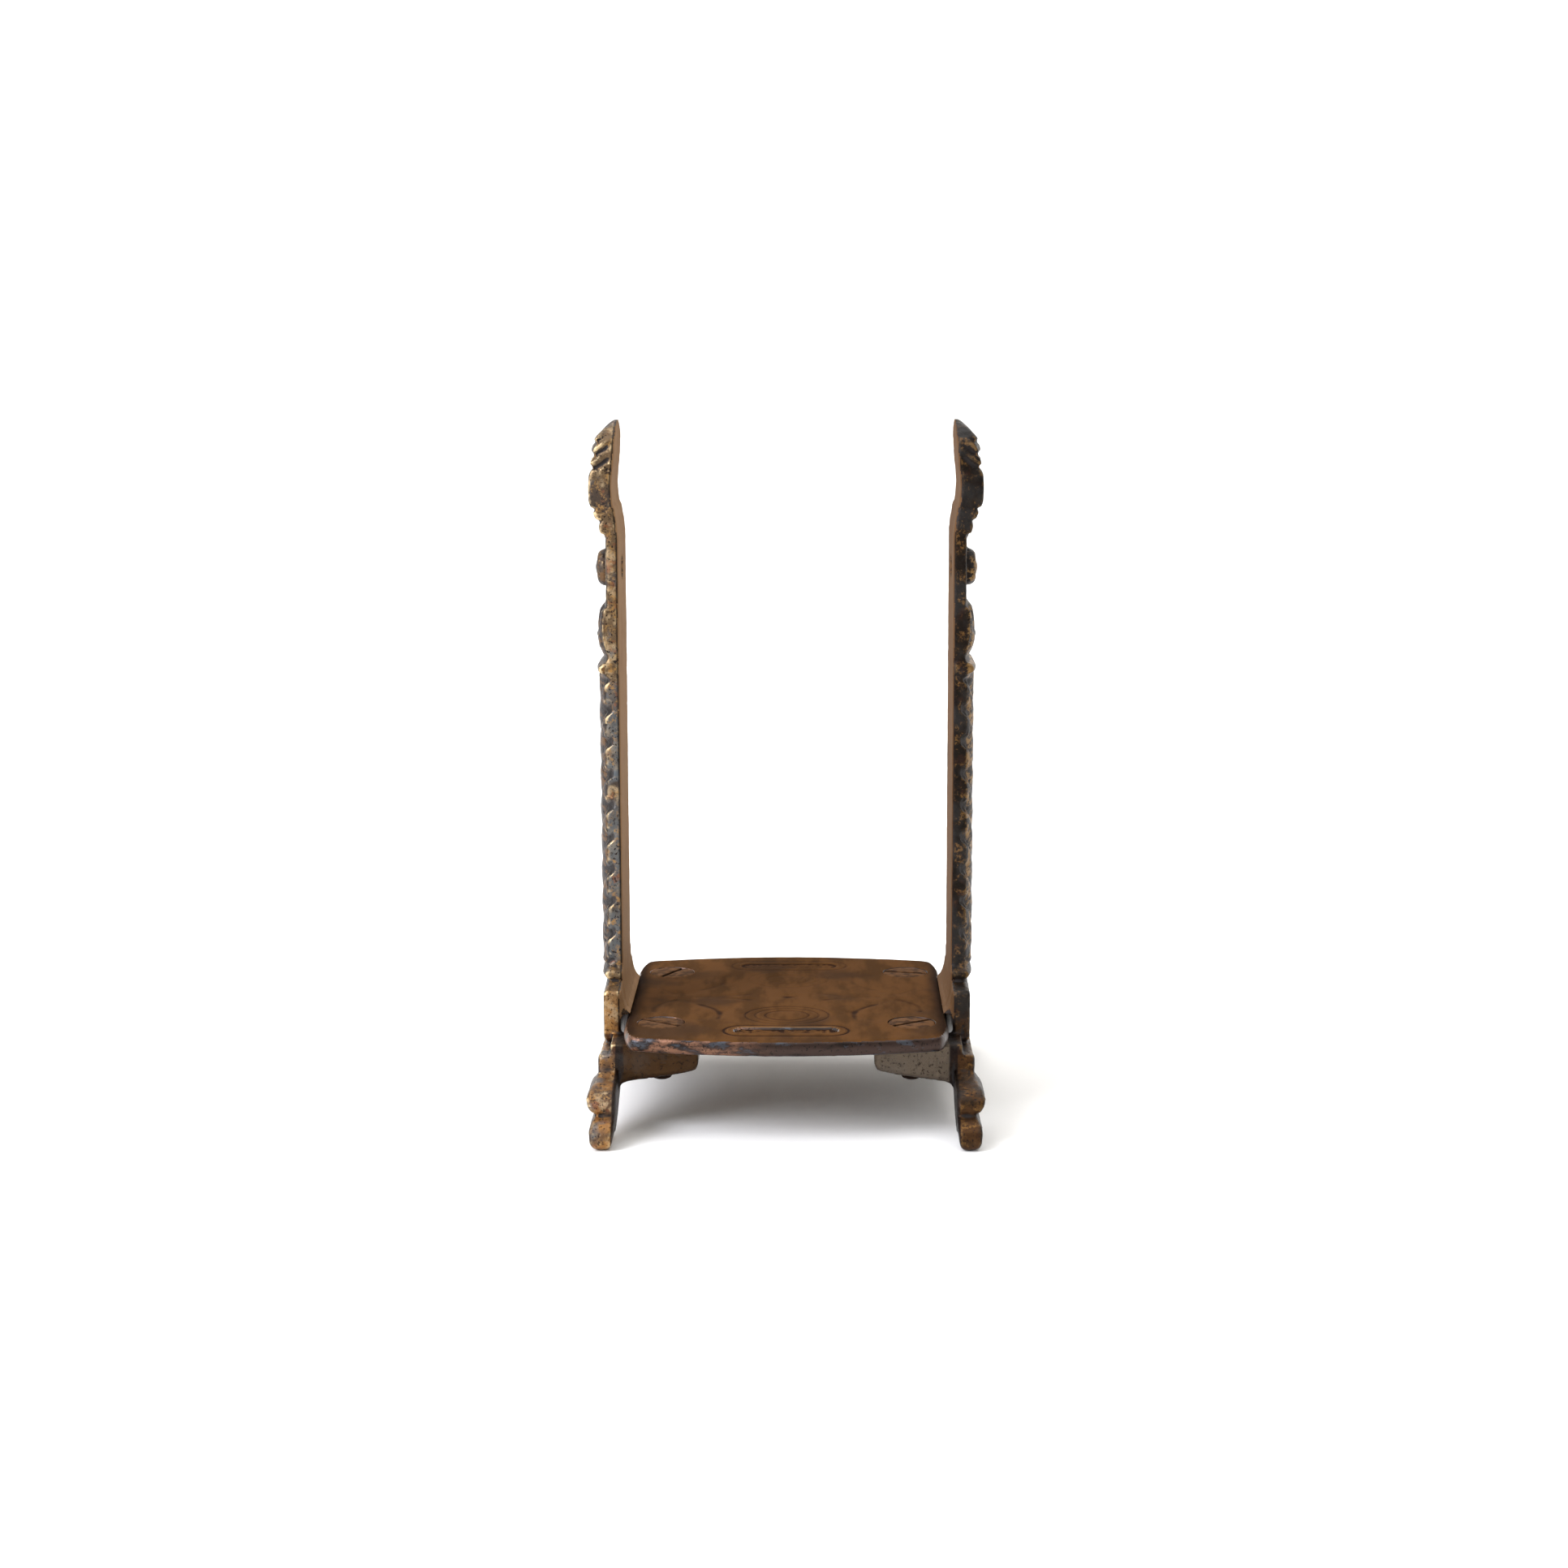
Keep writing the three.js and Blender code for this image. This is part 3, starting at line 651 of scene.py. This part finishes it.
def plate_relief(points):
    """How high the top stands. The floor of each panel has random bumps and no figure."""
    x, y = np.abs(points[:, 0]), np.abs(points[:, 1])
    panel = stadium_distance(x, y - PANEL_Y, PANEL_LENGTH, PANEL_WIDTH)
    sunk = -0.5 * (1 - ramp(panel, -0.35, 0.25))
    stipple = 0.16 * unevenness(points, 0.75, PLATE_SEED) * (panel < -0.4)
    border = 0.3 * np.exp(-(((panel - 0.9) / 0.55) ** 2))
    border = border - 0.22 * np.exp(-(((panel - 2.3) / 0.6) ** 2))
    oval = np.hypot(x / 10, (y - OVAL_Y) / 8.7)
    rings = sum(-0.16 * np.exp(-(((oval - at) / 0.055) ** 2)) for at in (0.52, 0.76, 1.0))
    dimple = -0.35 * np.exp(-((np.hypot(x / 2.4, y / 1.7)) ** 2))
    dimple = dimple - 0.2 * np.exp(-((np.hypot(x / 3.2, (y - 21.8) / 1.4)) ** 2))
    scrolls = sum(-0.2 * stroke(x, y, *shape) for shape in STROKES)
    waves = 0.05 * unevenness(points, 9, PLATE_SEED + 1) + 0.02 * unevenness(points, 2.3, PLATE_SEED + 2)
    kept = 1 - 0.5 * ramp(points[:, 1], -4, 12)
    return kept * (sunk + stipple + border + rings + dimple + scrolls) + waves


print("panel", PANEL_LENGTH, "x", PANEL_WIDTH, "mm,", len(STROKES), "strokes in a quarter")


# %% Make the plate
PLATE_VOXEL = 0.42
POLISHED_OFF = 0.06
FLUSH = 0.1
plate = worked(mesh_of("plate", [plate_body]), "REMESH", mode="VOXEL", voxel_size=PLATE_VOXEL)
points = averaged(points_of(plate), edges_of(plate), 2)
normals = points_of(plate, "normal")
top_part = ramp(normals[:, 2], 0.75, 0.95)
points[:, 2] += top_part * (plate_relief(points) - POLISHED_OFF)
skin = 0.035 * unevenness(points, 1.6, PLATE_SEED + 3)
dents = 0.07 * ramp(unevenness(points, 2.4, PLATE_SEED + 4), 0.4, 0.9) * (1 - top_part)
points += normals * ((skin - dents) * (1 - 0.6 * top_part))[:, None]
points[:, 2] = np.clip(points[:, 2], plate_bottom, plate_top)
set_points(plate, points)
seat_top = plate_top - FLUSH
seat_radius = head_radius + 0.12
seat = [(2.9, 10), (2.9, seat_top - head_radius + 2.4), (seat_radius, seat_top - 0.2), (seat_radius, 30)]
seats = [turned(seat, (a * screw_x, b * screw_y), "z", 96) for a in (-1, 1) for b in (-1, 1)]
plate = cut(plate, seats)
remember_wear(plate)
print("plate", len(plate.vertices), "points")

# %% [markdown]
# ## The screws
# They are slotted countersunk machine screws. Their heads lie flush in the plate with only a
# thin ring and a dark slot to show for them, and their ends show under the lugs. The thread
# could be a true helix, but the casting hides it, so it is a stack of ridges in the profile.

# %% Turn and slot one screw
SLOT_WIDTH, SLOT_DEPTH = 1.1, 1.2
SHANK_RADIUS = 2.7
THREAD_PITCH, THREAD_RISE = 0.8, 0.14
THREAD_FROM, THREAD_TO = 11.8, 19.0
slot_turns = {"front_left": -35, "back_left": 62, "front_right": 35, "back_right": -12}


def screw_mesh(turn):
    """A screw standing on the middle line, its slot turned by so many degrees."""
    top, bottom, radius = screw_high.z, screw_low.z, SHANK_RADIUS
    profile = [(0.01, bottom), (1.5, bottom + 0.06), (2.2, bottom + 0.35), (2.45, bottom + 0.8)]
    for z in np.arange(THREAD_FROM, THREAD_TO, THREAD_PITCH / 4):
        ridge = THREAD_RISE * math.cos(2 * math.pi * z / THREAD_PITCH)
        profile.append((radius - THREAD_RISE + ridge, z))
    neck = top - 0.3 - (head_radius - radius)
    profile += [(radius, neck), (head_radius, top - 0.3), (head_radius - 0.12, top - 0.1)]
    profile += [(head_radius - 0.5, top), (2.5, top), (0.01, top)]
    mesh = mesh_of("screw", [turned(profile, (0, 0), "z", 96)])
    half, floor = SLOT_WIDTH / 2, top - SLOT_DEPTH
    outline = [(-half, floor), (half, floor), (half, top + 1), (-half, top + 1)]
    mesh = cut(mesh, [slab(outline, -8, 8)])
    points = points_of(mesh)
    angle = math.radians(turn)
    x, y = points[:, 0].copy(), points[:, 1].copy()
    points[:, 0] = x * math.cos(angle) - y * math.sin(angle)
    points[:, 1] = x * math.sin(angle) + y * math.cos(angle)
    set_points(mesh, points)
    return worked(mesh, "BEVEL", width=0.08, segments=2, limit_method="ANGLE", angle_limit=math.radians(50))


print("screw", round(screw_high.z - screw_low.z, 1), "mm long, head", round(2 * head_radius, 1), "mm across")


# %% [markdown]
# ## Adding nodes to a material
# Every finish below is a tree of texture and colour nodes. One function adds a node,
# sets its properties, gives each input a value or a link, and hands back its output.
# An old finish is a stack: each layer is a colour laid over those below it, as strongly
# as it says, where all of its masks agree. Painting an image would also give such a finish,
# but a stack of nodes follows the metal's own edges and hollows at any size.

# %% Colours, nodes and stacks
def colour(hex_code):
    """An sRGB hex colour as linear light."""
    parts = [int(hex_code[k:k + 2], 16) / 255 for k in (1, 3, 5)]
    return (*[c / 12.92 if c <= 0.04045 else ((c + 0.055) / 1.055) ** 2.4 for c in parts], 1.0)


def add(tree, kind, inputs=None, output=0, **settings):
    """Adds a node, sets its properties, fills its inputs, and returns one output."""
    node = tree.nodes.new("ShaderNode" + kind)
    for setting, value in settings.items():
        setattr(node, setting, value)
    for name, value in (inputs or {}).items():
        socket = node.inputs[name]
        if isinstance(value, bpy.types.NodeSocket):
            tree.links.new(value, socket)
        else:
            socket.default_value = value
    return node.outputs[output] if len(node.outputs) else None


def stacked(tree, base, layers):
    """Lays colours over a base. A mask is a value with where it starts and where it is full."""
    covers = []
    for paint, strength, masks in layers:
        cover = strength
        for value, start, full in masks:
            inputs = {"Value": value, "From Min": start, "From Max": full}
            mask = add(tree, "MapRange", inputs, interpolation_type="SMOOTHSTEP")
            cover = add(tree, "Math", {0: cover, 1: mask}, operation="MULTIPLY")
        base = add(tree, "MixRGB", {"Color1": base, "Color2": paint, "Fac": cover})
        covers.append(cover)
    return base, covers


def blank_material(name):
    """A material with an empty tree."""
    material = bpy.data.materials.new(name)
    material.use_nodes = True
    material.node_tree.nodes.clear()
    return material, material.node_tree


def per_mm(size):
    """The texture scale whose pattern repeats about every size millimetres."""
    return 1 / (size * MM)


print("a pattern that repeats every 2 mm has scale", round(per_mm(2)))


# %% [markdown]
# ## Antique cast brass
# Cast brass is a warm yellow metal. Left for a century it goes tan, then brown, then nearly
# black with a violet cast where nobody rubs it, and handling keeps the proud edges gold. So
# the stack is: clouds of brown over tan, pale rubbed patches, granular gold where the
# sand-cast grain shows, blue-grey bloom, copper, a dark coat on the outer sides, black in the
# hollows and pits, painted shade along the inner edge of the front faces, painted light and
# shade on the lugs, and bright brass on the edges. Each casting's palette also holds painted
# light: the right one is a darker copy that is painted shade as well as heavier tarnish, and the
# left one's pale patches and edges are painted light as well as rubbing. Tarnish is rougher
# and less metallic.
# One plain dark metal would lose the cast skin.

# %% Tarnished brass, from a palette for each casting
BLACK, PIT = colour("#17100F"), colour("#1C130E")
BROWN_LAYER, HOLLOW_LAYER, PIT_LAYER = 1, 11, 12


def cast_brass(name, outwards, palette):
    """Tarnished brass. Outwards is 1 on the right side and -1 on the left."""
    material, tree = blank_material(name)
    place = add(tree, "TexCoord", output="Object")
    n = {
        key: add(tree, "TexNoise", {
            "Vector": place, "Scale": per_mm(size), "Detail": detail, "Roughness": rough,
        }) for key, size, detail, rough in (
            ("cloud", 12, 4, 0.6), ("blotch", 2.6, 6, 0.7), ("patch", 4.4, 5, 0.65),
            ("bloom", 6.5, 3, 0.5), ("copper", 4.0, 4, 0.65), ("grain", 0.6, 3, 0.6),
            ("fine", 0.22, 2, 0.5),
        )
    }
    worn = add(tree, "Attribute", output="Fac", attribute_name="edge_wear")
    hollow = add(tree, "Attribute", output="Fac", attribute_name="hollow")
    facing = add(tree, "Attribute", output="Vector", attribute_name="facing")
    side = add(tree, "SeparateXYZ", {"Vector": facing}, output="X")
    up = add(tree, "SeparateXYZ", {"Vector": place}, output="Z")
    across = add(tree, "SeparateXYZ", {"Vector": place}, output="X")
    paint = {key: colour(value) for key, value in palette.items()}
    from_bay = add(tree, "Attribute", output="Fac", attribute_name="from_bay")
    outer = (side, 0.3 * outwards, 0.75 * outwards)
    set_back = ((from_bay, 3.1, 3.7), (up, 34 * MM, 36 * MM), (up, 138.6 * MM, 137.6 * MM))
    shaft = ((up, 36 * MM, 38 * MM), (up, 104.5 * MM, 103 * MM))
    waist = ((up, 20.9 * MM, 20.2 * MM), (up, 17.9 * MM, 18.5 * MM))
    lug_light_and_shade = ((across, 38.6 * outwards * MM, 38.0 * outwards * MM), (up, 20.9 * MM, 20.6 * MM))
    base, covers = stacked(tree, paint["tan"], (
        (paint["foot"], 0.85, [(up, 34 * MM, 24 * MM)]),
        (paint["brown"], 0.8, [(n["cloud"], 0.47, 0.6)]),
        (paint["light"], 0.6, [(n["patch"], 0.5, 0.64)]),
        (paint["bloom"], 0.7, [*shaft, (n["cloud"], 0.62, 0.45)]),
        (paint["gold"], 0.8, [(n["blotch"], 0.5, 0.6), (n["grain"], 0.42, 0.58)]),
        (paint["bloom"], 0.65, [(n["bloom"], 0.53, 0.64)]),
        (paint["copper"], 0.6, [(n["copper"], 0.57, 0.66)]),
        (paint["waist"], 0.85, waist),
        (paint["outer"], 0.85, [outer]),
        (paint["outer"], 0.8, set_back),
        (paint["strand"], 0.8, [*set_back, (n["blotch"], 0.48, 0.57)]),
        (BLACK, 0.9, [(hollow, -0.02, -0.16)]),
        (PIT, 0.9, [(n["grain"], 0.42, 0.34)]),
        (paint["edge"], 0.8, [(worn, 0.025, 0.08), (n["blotch"], 0.38, 0.54)]),
        (BLACK, 0.9, [(worn, -0.02, -0.06)]),
        # painted shade: black along the inner edge of the front faces, next to the bay face
        (BLACK, 0.9, [(from_bay, 0.85, 0.45)]),
        # painted shade on the left casting's lugs and painted light on the right casting's lugs, under the
        # shelf
        (paint["lug"], 0.8, lug_light_and_shade),
        (PIT, 0.7, [(n["grain"], 0.42, 0.34)]),
    ))
    brown, black, pit = covers[BROWN_LAYER], covers[HOLLOW_LAYER], covers[PIT_LAYER]
    dull = add(tree, "Math", {0: black, 1: brown}, operation="MAXIMUM")
    roughness = add(tree, "MapRange", {"Value": dull, "To Min": 0.34, "To Max": 0.5})
    roughness = add(tree, "Math", {0: n["fine"], 1: 0.12, 2: roughness}, operation="MULTIPLY_ADD")
    metallic = add(tree, "MapRange", {"Value": dull, "To Min": 0.9, "To Max": 0.5})
    relief = add(tree, "Math", {0: pit, 1: -1.0, 2: n["fine"]}, operation="MULTIPLY_ADD")
    bump = add(tree, "Bump", {"Height": relief, "Strength": 0.6, "Distance": 0.12 * MM})
    shader = add(tree, "BsdfPrincipled", {
        "Base Color": base, "Roughness": roughness, "Metallic": metallic, "Normal": bump,
    })
    add(tree, "OutputMaterial", {"Surface": shader})
    return material


# The two palettes are a lit and a shaded copy of one finish: the right one's darker colours are painted
# shade as well as tarnish, and the left one's pale colours are painted light as well as rubbing.
left_brass = cast_brass("antique_cast_brass_rubbed_and_painted_light", -1, {
    "tan": "#5E4C38", "foot": "#94683A", "brown": "#2F2520", "light": "#B59C78", "gold": "#96703F",
    "bloom": "#515A60", "copper": "#7C4B2F", "lug": "#3E2A16", "waist": "#3B241A",
    "outer": "#211A1B", "strand": "#6A4C2E", "edge": "#D8BE92",
})
right_brass = cast_brass("antique_cast_brass_dark_painted_shade", 1, {
    "tan": "#1A1410", "foot": "#48301B", "brown": "#100D0B", "light": "#261D13", "gold": "#6C4E2A",
    "bloom": "#17130F", "copper": "#2E1B12", "lug": "#61564A", "waist": "#241712",
    "outer": "#1B1512", "strand": "#8A6A40", "edge": "#6B5232",
})
print("cast brass", len(left_brass.node_tree.nodes), "nodes")

# %% [markdown]
# ## Waxed inner faces
# The faces that the album leans on are smooth, and rubbed and waxed to an even tan. Wax over
# tarnish hardly shines and doesn't mirror, so this finish is mostly not metallic. The cast
# finish could cover these faces too, but its full metal mirrors the white paper.

# %% Waxed brass
def waxed_brass(name, tan, shade):
    """Waxed inner face, with faint streaks along the height where it was rubbed."""
    material, tree = blank_material(name)
    place = add(tree, "TexCoord", output="Object")
    drawn = add(tree, "Mapping", {"Vector": place, "Scale": (1, 1, 0.07)})
    streak = add(tree, "TexNoise", {"Vector": drawn, "Scale": per_mm(1.6), "Detail": 5})
    n = {
        key: add(tree, "TexNoise", {
            "Vector": place, "Scale": per_mm(size), "Detail": detail, "Roughness": rough,
        }) for key, size, detail, rough in (
            ("cloud", 16, 3, 0.5), ("grain", 0.6, 3, 0.6))
    }
    hollow = add(tree, "Attribute", output="Fac", attribute_name="hollow")
    base, _ = stacked(tree, colour(tan), (
        (colour(shade), 0.18, [(streak, 0.4, 0.66)]),
        (colour(shade), 0.3, [(n["cloud"], 0.5, 0.68)]),
        (BLACK, 0.8, [(hollow, -0.03, -0.25)]),
        (colour(shade), 0.6, [(n["grain"], 0.38, 0.3)]),
    ))
    bump = add(tree, "Bump", {"Height": n["grain"], "Strength": 0.3, "Distance": 0.08 * MM})
    shader = add(tree, "BsdfPrincipled", {
        "Base Color": base, "Roughness": 0.55, "Metallic": 0.25, "Specular IOR Level": 0.0,
        "Normal": bump,
    })
    add(tree, "OutputMaterial", {"Surface": shader})
    return material


left_wax = waxed_brass("waxed_brass_left_inner", "#86684A", "#6B4F36")
# the right inner face: the same wax in a darker tone, painted shade
right_wax_painted_shade = waxed_brass("waxed_brass_right_inner_painted_shade", "#5E452F", "#412F20")
print("waxed brass", len(left_wax.node_tree.nodes), "nodes")

# %% Castings in place
INNER_FACE_FROM = 24.0
for name, side, seed, finishes in (
    ("side_casting_left", -1, 11, (left_brass, left_wax)),
    ("side_casting_right", 1, 23, (right_brass, right_wax_painted_shade)),
):
    mesh = finished_casting(name + "_cast", side, seed)
    towards_bay = -side * face_values(mesh, "normal")[:, 0]
    inner = (towards_bay > 0.6) & (face_values(mesh, "center")[:, 2] > INNER_FACE_FROM)
    placed(mesh, name + "_cast", name, finishes, inner)

# %% [markdown]
# ## Rubbed brass of the shelf
# Albums have slid over the shelf for years, so its top is an even satin tan with darker
# hollows and soft streaks. Along each upright the top is dark: wax and dust in the seam, and
# painted shade where the plate meets the casting. The rim has no wax on it: it is darker and
# glossier metal with some bloom, and a copper streak on its left half that is partly copper
# and partly a painted highlight.
# A mask could blend the two in one material, but a choice for each face is simpler.

# %% Waxed top of the shelf
def shelf_top_finish(name):
    """Waxed metal with streaks along the way the album slides."""
    material, tree = blank_material(name)
    place = add(tree, "TexCoord", output="Object")
    drawn = add(tree, "Mapping", {"Vector": place, "Scale": (1, 0.3, 1)})
    streak = add(tree, "TexNoise", {"Vector": drawn, "Scale": per_mm(6), "Detail": 5, "Roughness": 0.6})
    n = {
        key: add(tree, "TexNoise", {
            "Vector": place, "Scale": per_mm(size), "Detail": detail, "Roughness": rough,
        }) for key, size, detail, rough in (
            ("cloud", 19, 3, 0.5), ("grain", 0.7, 4, 0.6))
    }
    worn = add(tree, "Attribute", output="Fac", attribute_name="edge_wear")
    hollow = add(tree, "Attribute", output="Fac", attribute_name="hollow")
    across = add(tree, "SeparateXYZ", {"Vector": place}, output="X")
    from_middle = add(tree, "Math", {0: across}, operation="ABSOLUTE")
    base, _ = stacked(tree, colour("#54381F"), (
        (colour("#402B18"), 0.8, [(streak, 0.42, 0.62)]),
        (colour("#3A291C"), 0.75, [(n["cloud"], 0.5, 0.66)]),
        (colour("#1B1210"), 0.85, [(hollow, -0.015, -0.13)]),
        # dark band along each side of the top: dirt in the seam and painted shade where the plate meets the
        # uprights
        (colour("#1E1511"), 0.9, [(from_middle, 33.5 * MM, 37.5 * MM)]),
        (colour("#7D5B39"), 0.4, [(worn, 0.02, 0.07)]),
    ))
    roughness = add(tree, "MapRange", {"Value": streak, "To Min": 0.4, "To Max": 0.6})
    bump = add(tree, "Bump", {"Height": n["grain"], "Strength": 0.3, "Distance": 0.06 * MM})
    shader = add(tree, "BsdfPrincipled", {
        "Base Color": base, "Roughness": roughness, "Metallic": 0.06, "Specular IOR Level": 0.0,
        "Normal": bump,
    })
    add(tree, "OutputMaterial", {"Surface": shader})
    return material


# %% Bare tarnished rim of the shelf
def shelf_rim_finish(name):
    """Unwaxed metal whose patches run along the rim."""
    material, tree = blank_material(name)
    place = add(tree, "TexCoord", output="Object")
    drawn = add(tree, "Mapping", {"Vector": place, "Scale": (0.35, 1, 1)})
    n = {
        key: add(tree, "TexNoise", {
            "Vector": drawn, "Scale": per_mm(size), "Detail": detail, "Roughness": rough,
        }) for key, size, detail, rough in (
            ("cloud", 9, 4, 0.6), ("patch", 3, 5, 0.65))
    }
    grain = add(tree, "TexNoise", {"Vector": place, "Scale": per_mm(0.6), "Detail": 4})
    worn = add(tree, "Attribute", output="Fac", attribute_name="edge_wear")
    across = add(tree, "SeparateXYZ", {"Vector": place}, output="X")
    base, _ = stacked(tree, colour("#382B26"), (
        (colour("#1C1614"), 0.85, [(n["cloud"], 0.48, 0.58)]),
        (colour("#434850"), 0.7, [(n["patch"], 0.55, 0.63)]),
        # copper-pink on the left half of the rim: copper, and a painted highlight from the left lamp
        (colour("#8E654E"), 0.6, [(across, -1 * MM, -18 * MM), (n["patch"], 0.56, 0.44)]),
        (colour("#1A1412"), 0.85, [(grain, 0.42, 0.33)]),
        (colour("#9A7650"), 0.45, [(worn, 0.04, 0.1)]),
    ))
    roughness = add(tree, "MapRange", {"Value": grain, "To Min": 0.22, "To Max": 0.45})
    bump = add(tree, "Bump", {"Height": grain, "Strength": 0.4, "Distance": 0.08 * MM})
    shader = add(tree, "BsdfPrincipled", {
        "Base Color": base, "Roughness": roughness, "Metallic": 0.8, "Normal": bump,
    })
    add(tree, "OutputMaterial", {"Surface": shader})
    return material


# %% Shelf in place
normals = face_values(plate, "normal")
is_rim = (normals[:, 2] < 0.8) & (np.abs(normals[:, 2]) < 0.97)
shelf_finishes = (shelf_top_finish("waxed_shelf_brass"), shelf_rim_finish("tarnished_rim_brass"))
print(int(is_rim.sum()), "of", len(is_rim), "faces are rim")
placed(plate, "shelf_plate_cast", "shelf_plate", shelf_finishes, is_rim)

# %% [markdown]
# ## Blackened steel of the screws
# The screws are steel that has gone brown-black with the same wax and dirt as the plate.
# Their faces have been rubbed a little, so their colour is near the plate's. The plate's
# own finish could be used again, but rust makes a finer mottle than wax does.

# %% Blackened steel, and the four screws
def blackened_steel(name):
    """Steel that is darkest in the slot and below the head."""
    material, tree = blank_material(name)
    place = add(tree, "TexCoord", output="Object")
    n = {
        key: add(tree, "TexNoise", {
            "Vector": place, "Scale": per_mm(size), "Detail": detail, "Roughness": rough,
        }) for key, size, detail, rough in (
            ("rust", 2.2, 6, 0.6), ("grain", 0.4, 3, 0.5))
    }
    up = add(tree, "SeparateXYZ", {"Vector": place}, output="Z")
    head_top = screw_high.z * MM
    base, _ = stacked(tree, colour("#5A3F29"), (
        (colour("#33241A"), 0.8, [(n["rust"], 0.42, 0.6)]),
        (colour("#1A1311"), 0.9, [(up, head_top - 0.1 * MM, head_top - 0.5 * MM)]),
    ))
    roughness = add(tree, "MapRange", {"Value": n["grain"], "To Min": 0.4, "To Max": 0.6})
    bump = add(tree, "Bump", {"Height": n["grain"], "Strength": 0.3, "Distance": 0.05 * MM})
    shader = add(tree, "BsdfPrincipled", {
        "Base Color": base, "Roughness": roughness, "Metallic": 0.12, "Specular IOR Level": 0.0,
        "Normal": bump,
    })
    add(tree, "OutputMaterial", {"Surface": shader})
    return material


steel = blackened_steel("blackened_steel")
for corner, turn in slot_turns.items():
    low, high = (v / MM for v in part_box("screw_" + corner))
    mesh = screw_mesh(turn)
    points = points_of(mesh) + [(low.x + high.x) / 2, (low.y + high.y) / 2, 0]
    set_points(mesh, points)
    placed(mesh, f"screw_{corner}_turned", "screw_" + corner, (steel,))

# %% [markdown]
# ## The studio
# Pale matt paper lies under the stand and curves up into a wall all round. A flat floor
# with a wall behind it would do for one view only. The main light is a large soft one
# from the upper left and in front. Brass shows mostly what it reflects, so the room is
# darker than the paper.

# %% Paper bowl
BOWL_FLOOR, BOWL_BEND, BOWL_TOP, BOWL_SIDES = 1.8, 0.9, 3.2, 96
bowl_line = [(0.02, 0.0), (BOWL_FLOOR, 0.0)]
bowl_line += [(BOWL_FLOOR + BOWL_BEND * math.sin(a), BOWL_BEND * (1 - math.cos(a)))
              for a in np.linspace(0, math.pi / 2, 20)[1:]]
bowl_line.append((BOWL_FLOOR + BOWL_BEND, BOWL_TOP))
bowl_points, bowl_faces = turned(bowl_line, (0, 0), "z", BOWL_SIDES)
floor_mesh = bpy.data.meshes.new("paper_bowl")
floor_mesh.from_pydata(bowl_points, [], bowl_faces[:1] + bowl_faces[2:])
floor_mesh.shade_smooth()
floor = bpy.data.objects.new("paper_bowl", floor_mesh)
bpy.context.collection.objects.link(floor)
paper, tree = blank_material("matt_white_paper")
shader = add(tree, "BsdfPrincipled", {
    "Base Color": colour("#F4F3F1"), "Roughness": 0.9, "Specular IOR Level": 0.2,
})
add(tree, "OutputMaterial", {"Surface": shader})
floor_mesh.materials.append(paper)
print("paper bowl", 2 * (BOWL_FLOOR + BOWL_BEND), "m across")

# %% Lights
def soft_light(name, place, target, size, power, tint):
    """A rectangular lamp that faces its target. Places are in metres, power in watts."""
    lamp = bpy.data.lights.new(name, "AREA")
    lamp.shape = "RECTANGLE"
    lamp.size, lamp.size_y = size
    lamp.energy = power
    lamp.color = colour(tint)[:3]
    holder = bpy.data.objects.new(name, lamp)
    holder.location = place
    holder.rotation_euler = (Vector(target) - Vector(place)).to_track_quat("-Z", "Y").to_euler()
    bpy.context.collection.objects.link(holder)
    print(name, power, "W")


soft_light("window_left", (-0.9, -0.55, 0.75), (0, 0, 0.08), (0.7, 0.9), 22, "#F3F6FF")
soft_light("ceiling", (0.1, 0.3, 1.9), (0, 0.3, 0), (2.4, 2.4), 42, "#FFFFFF")
soft_light("backdrop_glow", (0, 1.0, 1.7), (0, 2.4, 1.0), (2.4, 1.0), 26, "#FFFFFF")
world = bpy.data.worlds.new("dim_room")
bpy.context.scene.world = world
world.use_nodes = True
world.node_tree.nodes["Background"].inputs["Color"].default_value = colour("#DDD9D3")
world.node_tree.nodes["Background"].inputs["Strength"].default_value = 0.3
bpy.context.scene.view_settings.view_transform = "Standard"

# %% [markdown]
# ## The camera
# The stand is seen from the front, a little above, from about 0.68 m away with a
# longish lens, so the two uprights are seen edge on and the shelf is foreshortened. A
# Track To constraint could aim the camera. Three angles also fix its small roll.

# %% Camera
CAMERA_PLACE = Vector((7.8066, -677.84, 190.284)) * MM
TILT_DOWN, TURN, ROLL = 0.1651, -0.0126, -0.0028
LENS, SENSOR = 65.15, 36.0
level = math.cos(TILT_DOWN)
forward = Vector((math.sin(TURN) * level, math.cos(TURN) * level, -math.sin(TILT_DOWN)))
right = Vector((math.cos(TURN), -math.sin(TURN), 0))
up = right.cross(forward)
rolled_right = math.cos(ROLL) * right + math.sin(ROLL) * up
rolled_up = math.cos(ROLL) * up - math.sin(ROLL) * right
camera = bpy.data.objects.new("camera", bpy.data.cameras.new("camera"))
camera.data.lens, camera.data.sensor_width = LENS, SENSOR
camera.data.clip_start = 0.01
aim = Matrix((rolled_right, rolled_up, -forward)).transposed()
camera.matrix_world = Matrix.Translation(CAMERA_PLACE) @ aim.to_4x4()
bpy.context.collection.objects.link(camera)
bpy.context.scene.camera = camera
print("camera", round(CAMERA_PLACE.length, 2), "m from the stand's foot")

# %% Update the scene, and finish
bpy.context.view_layer.update()
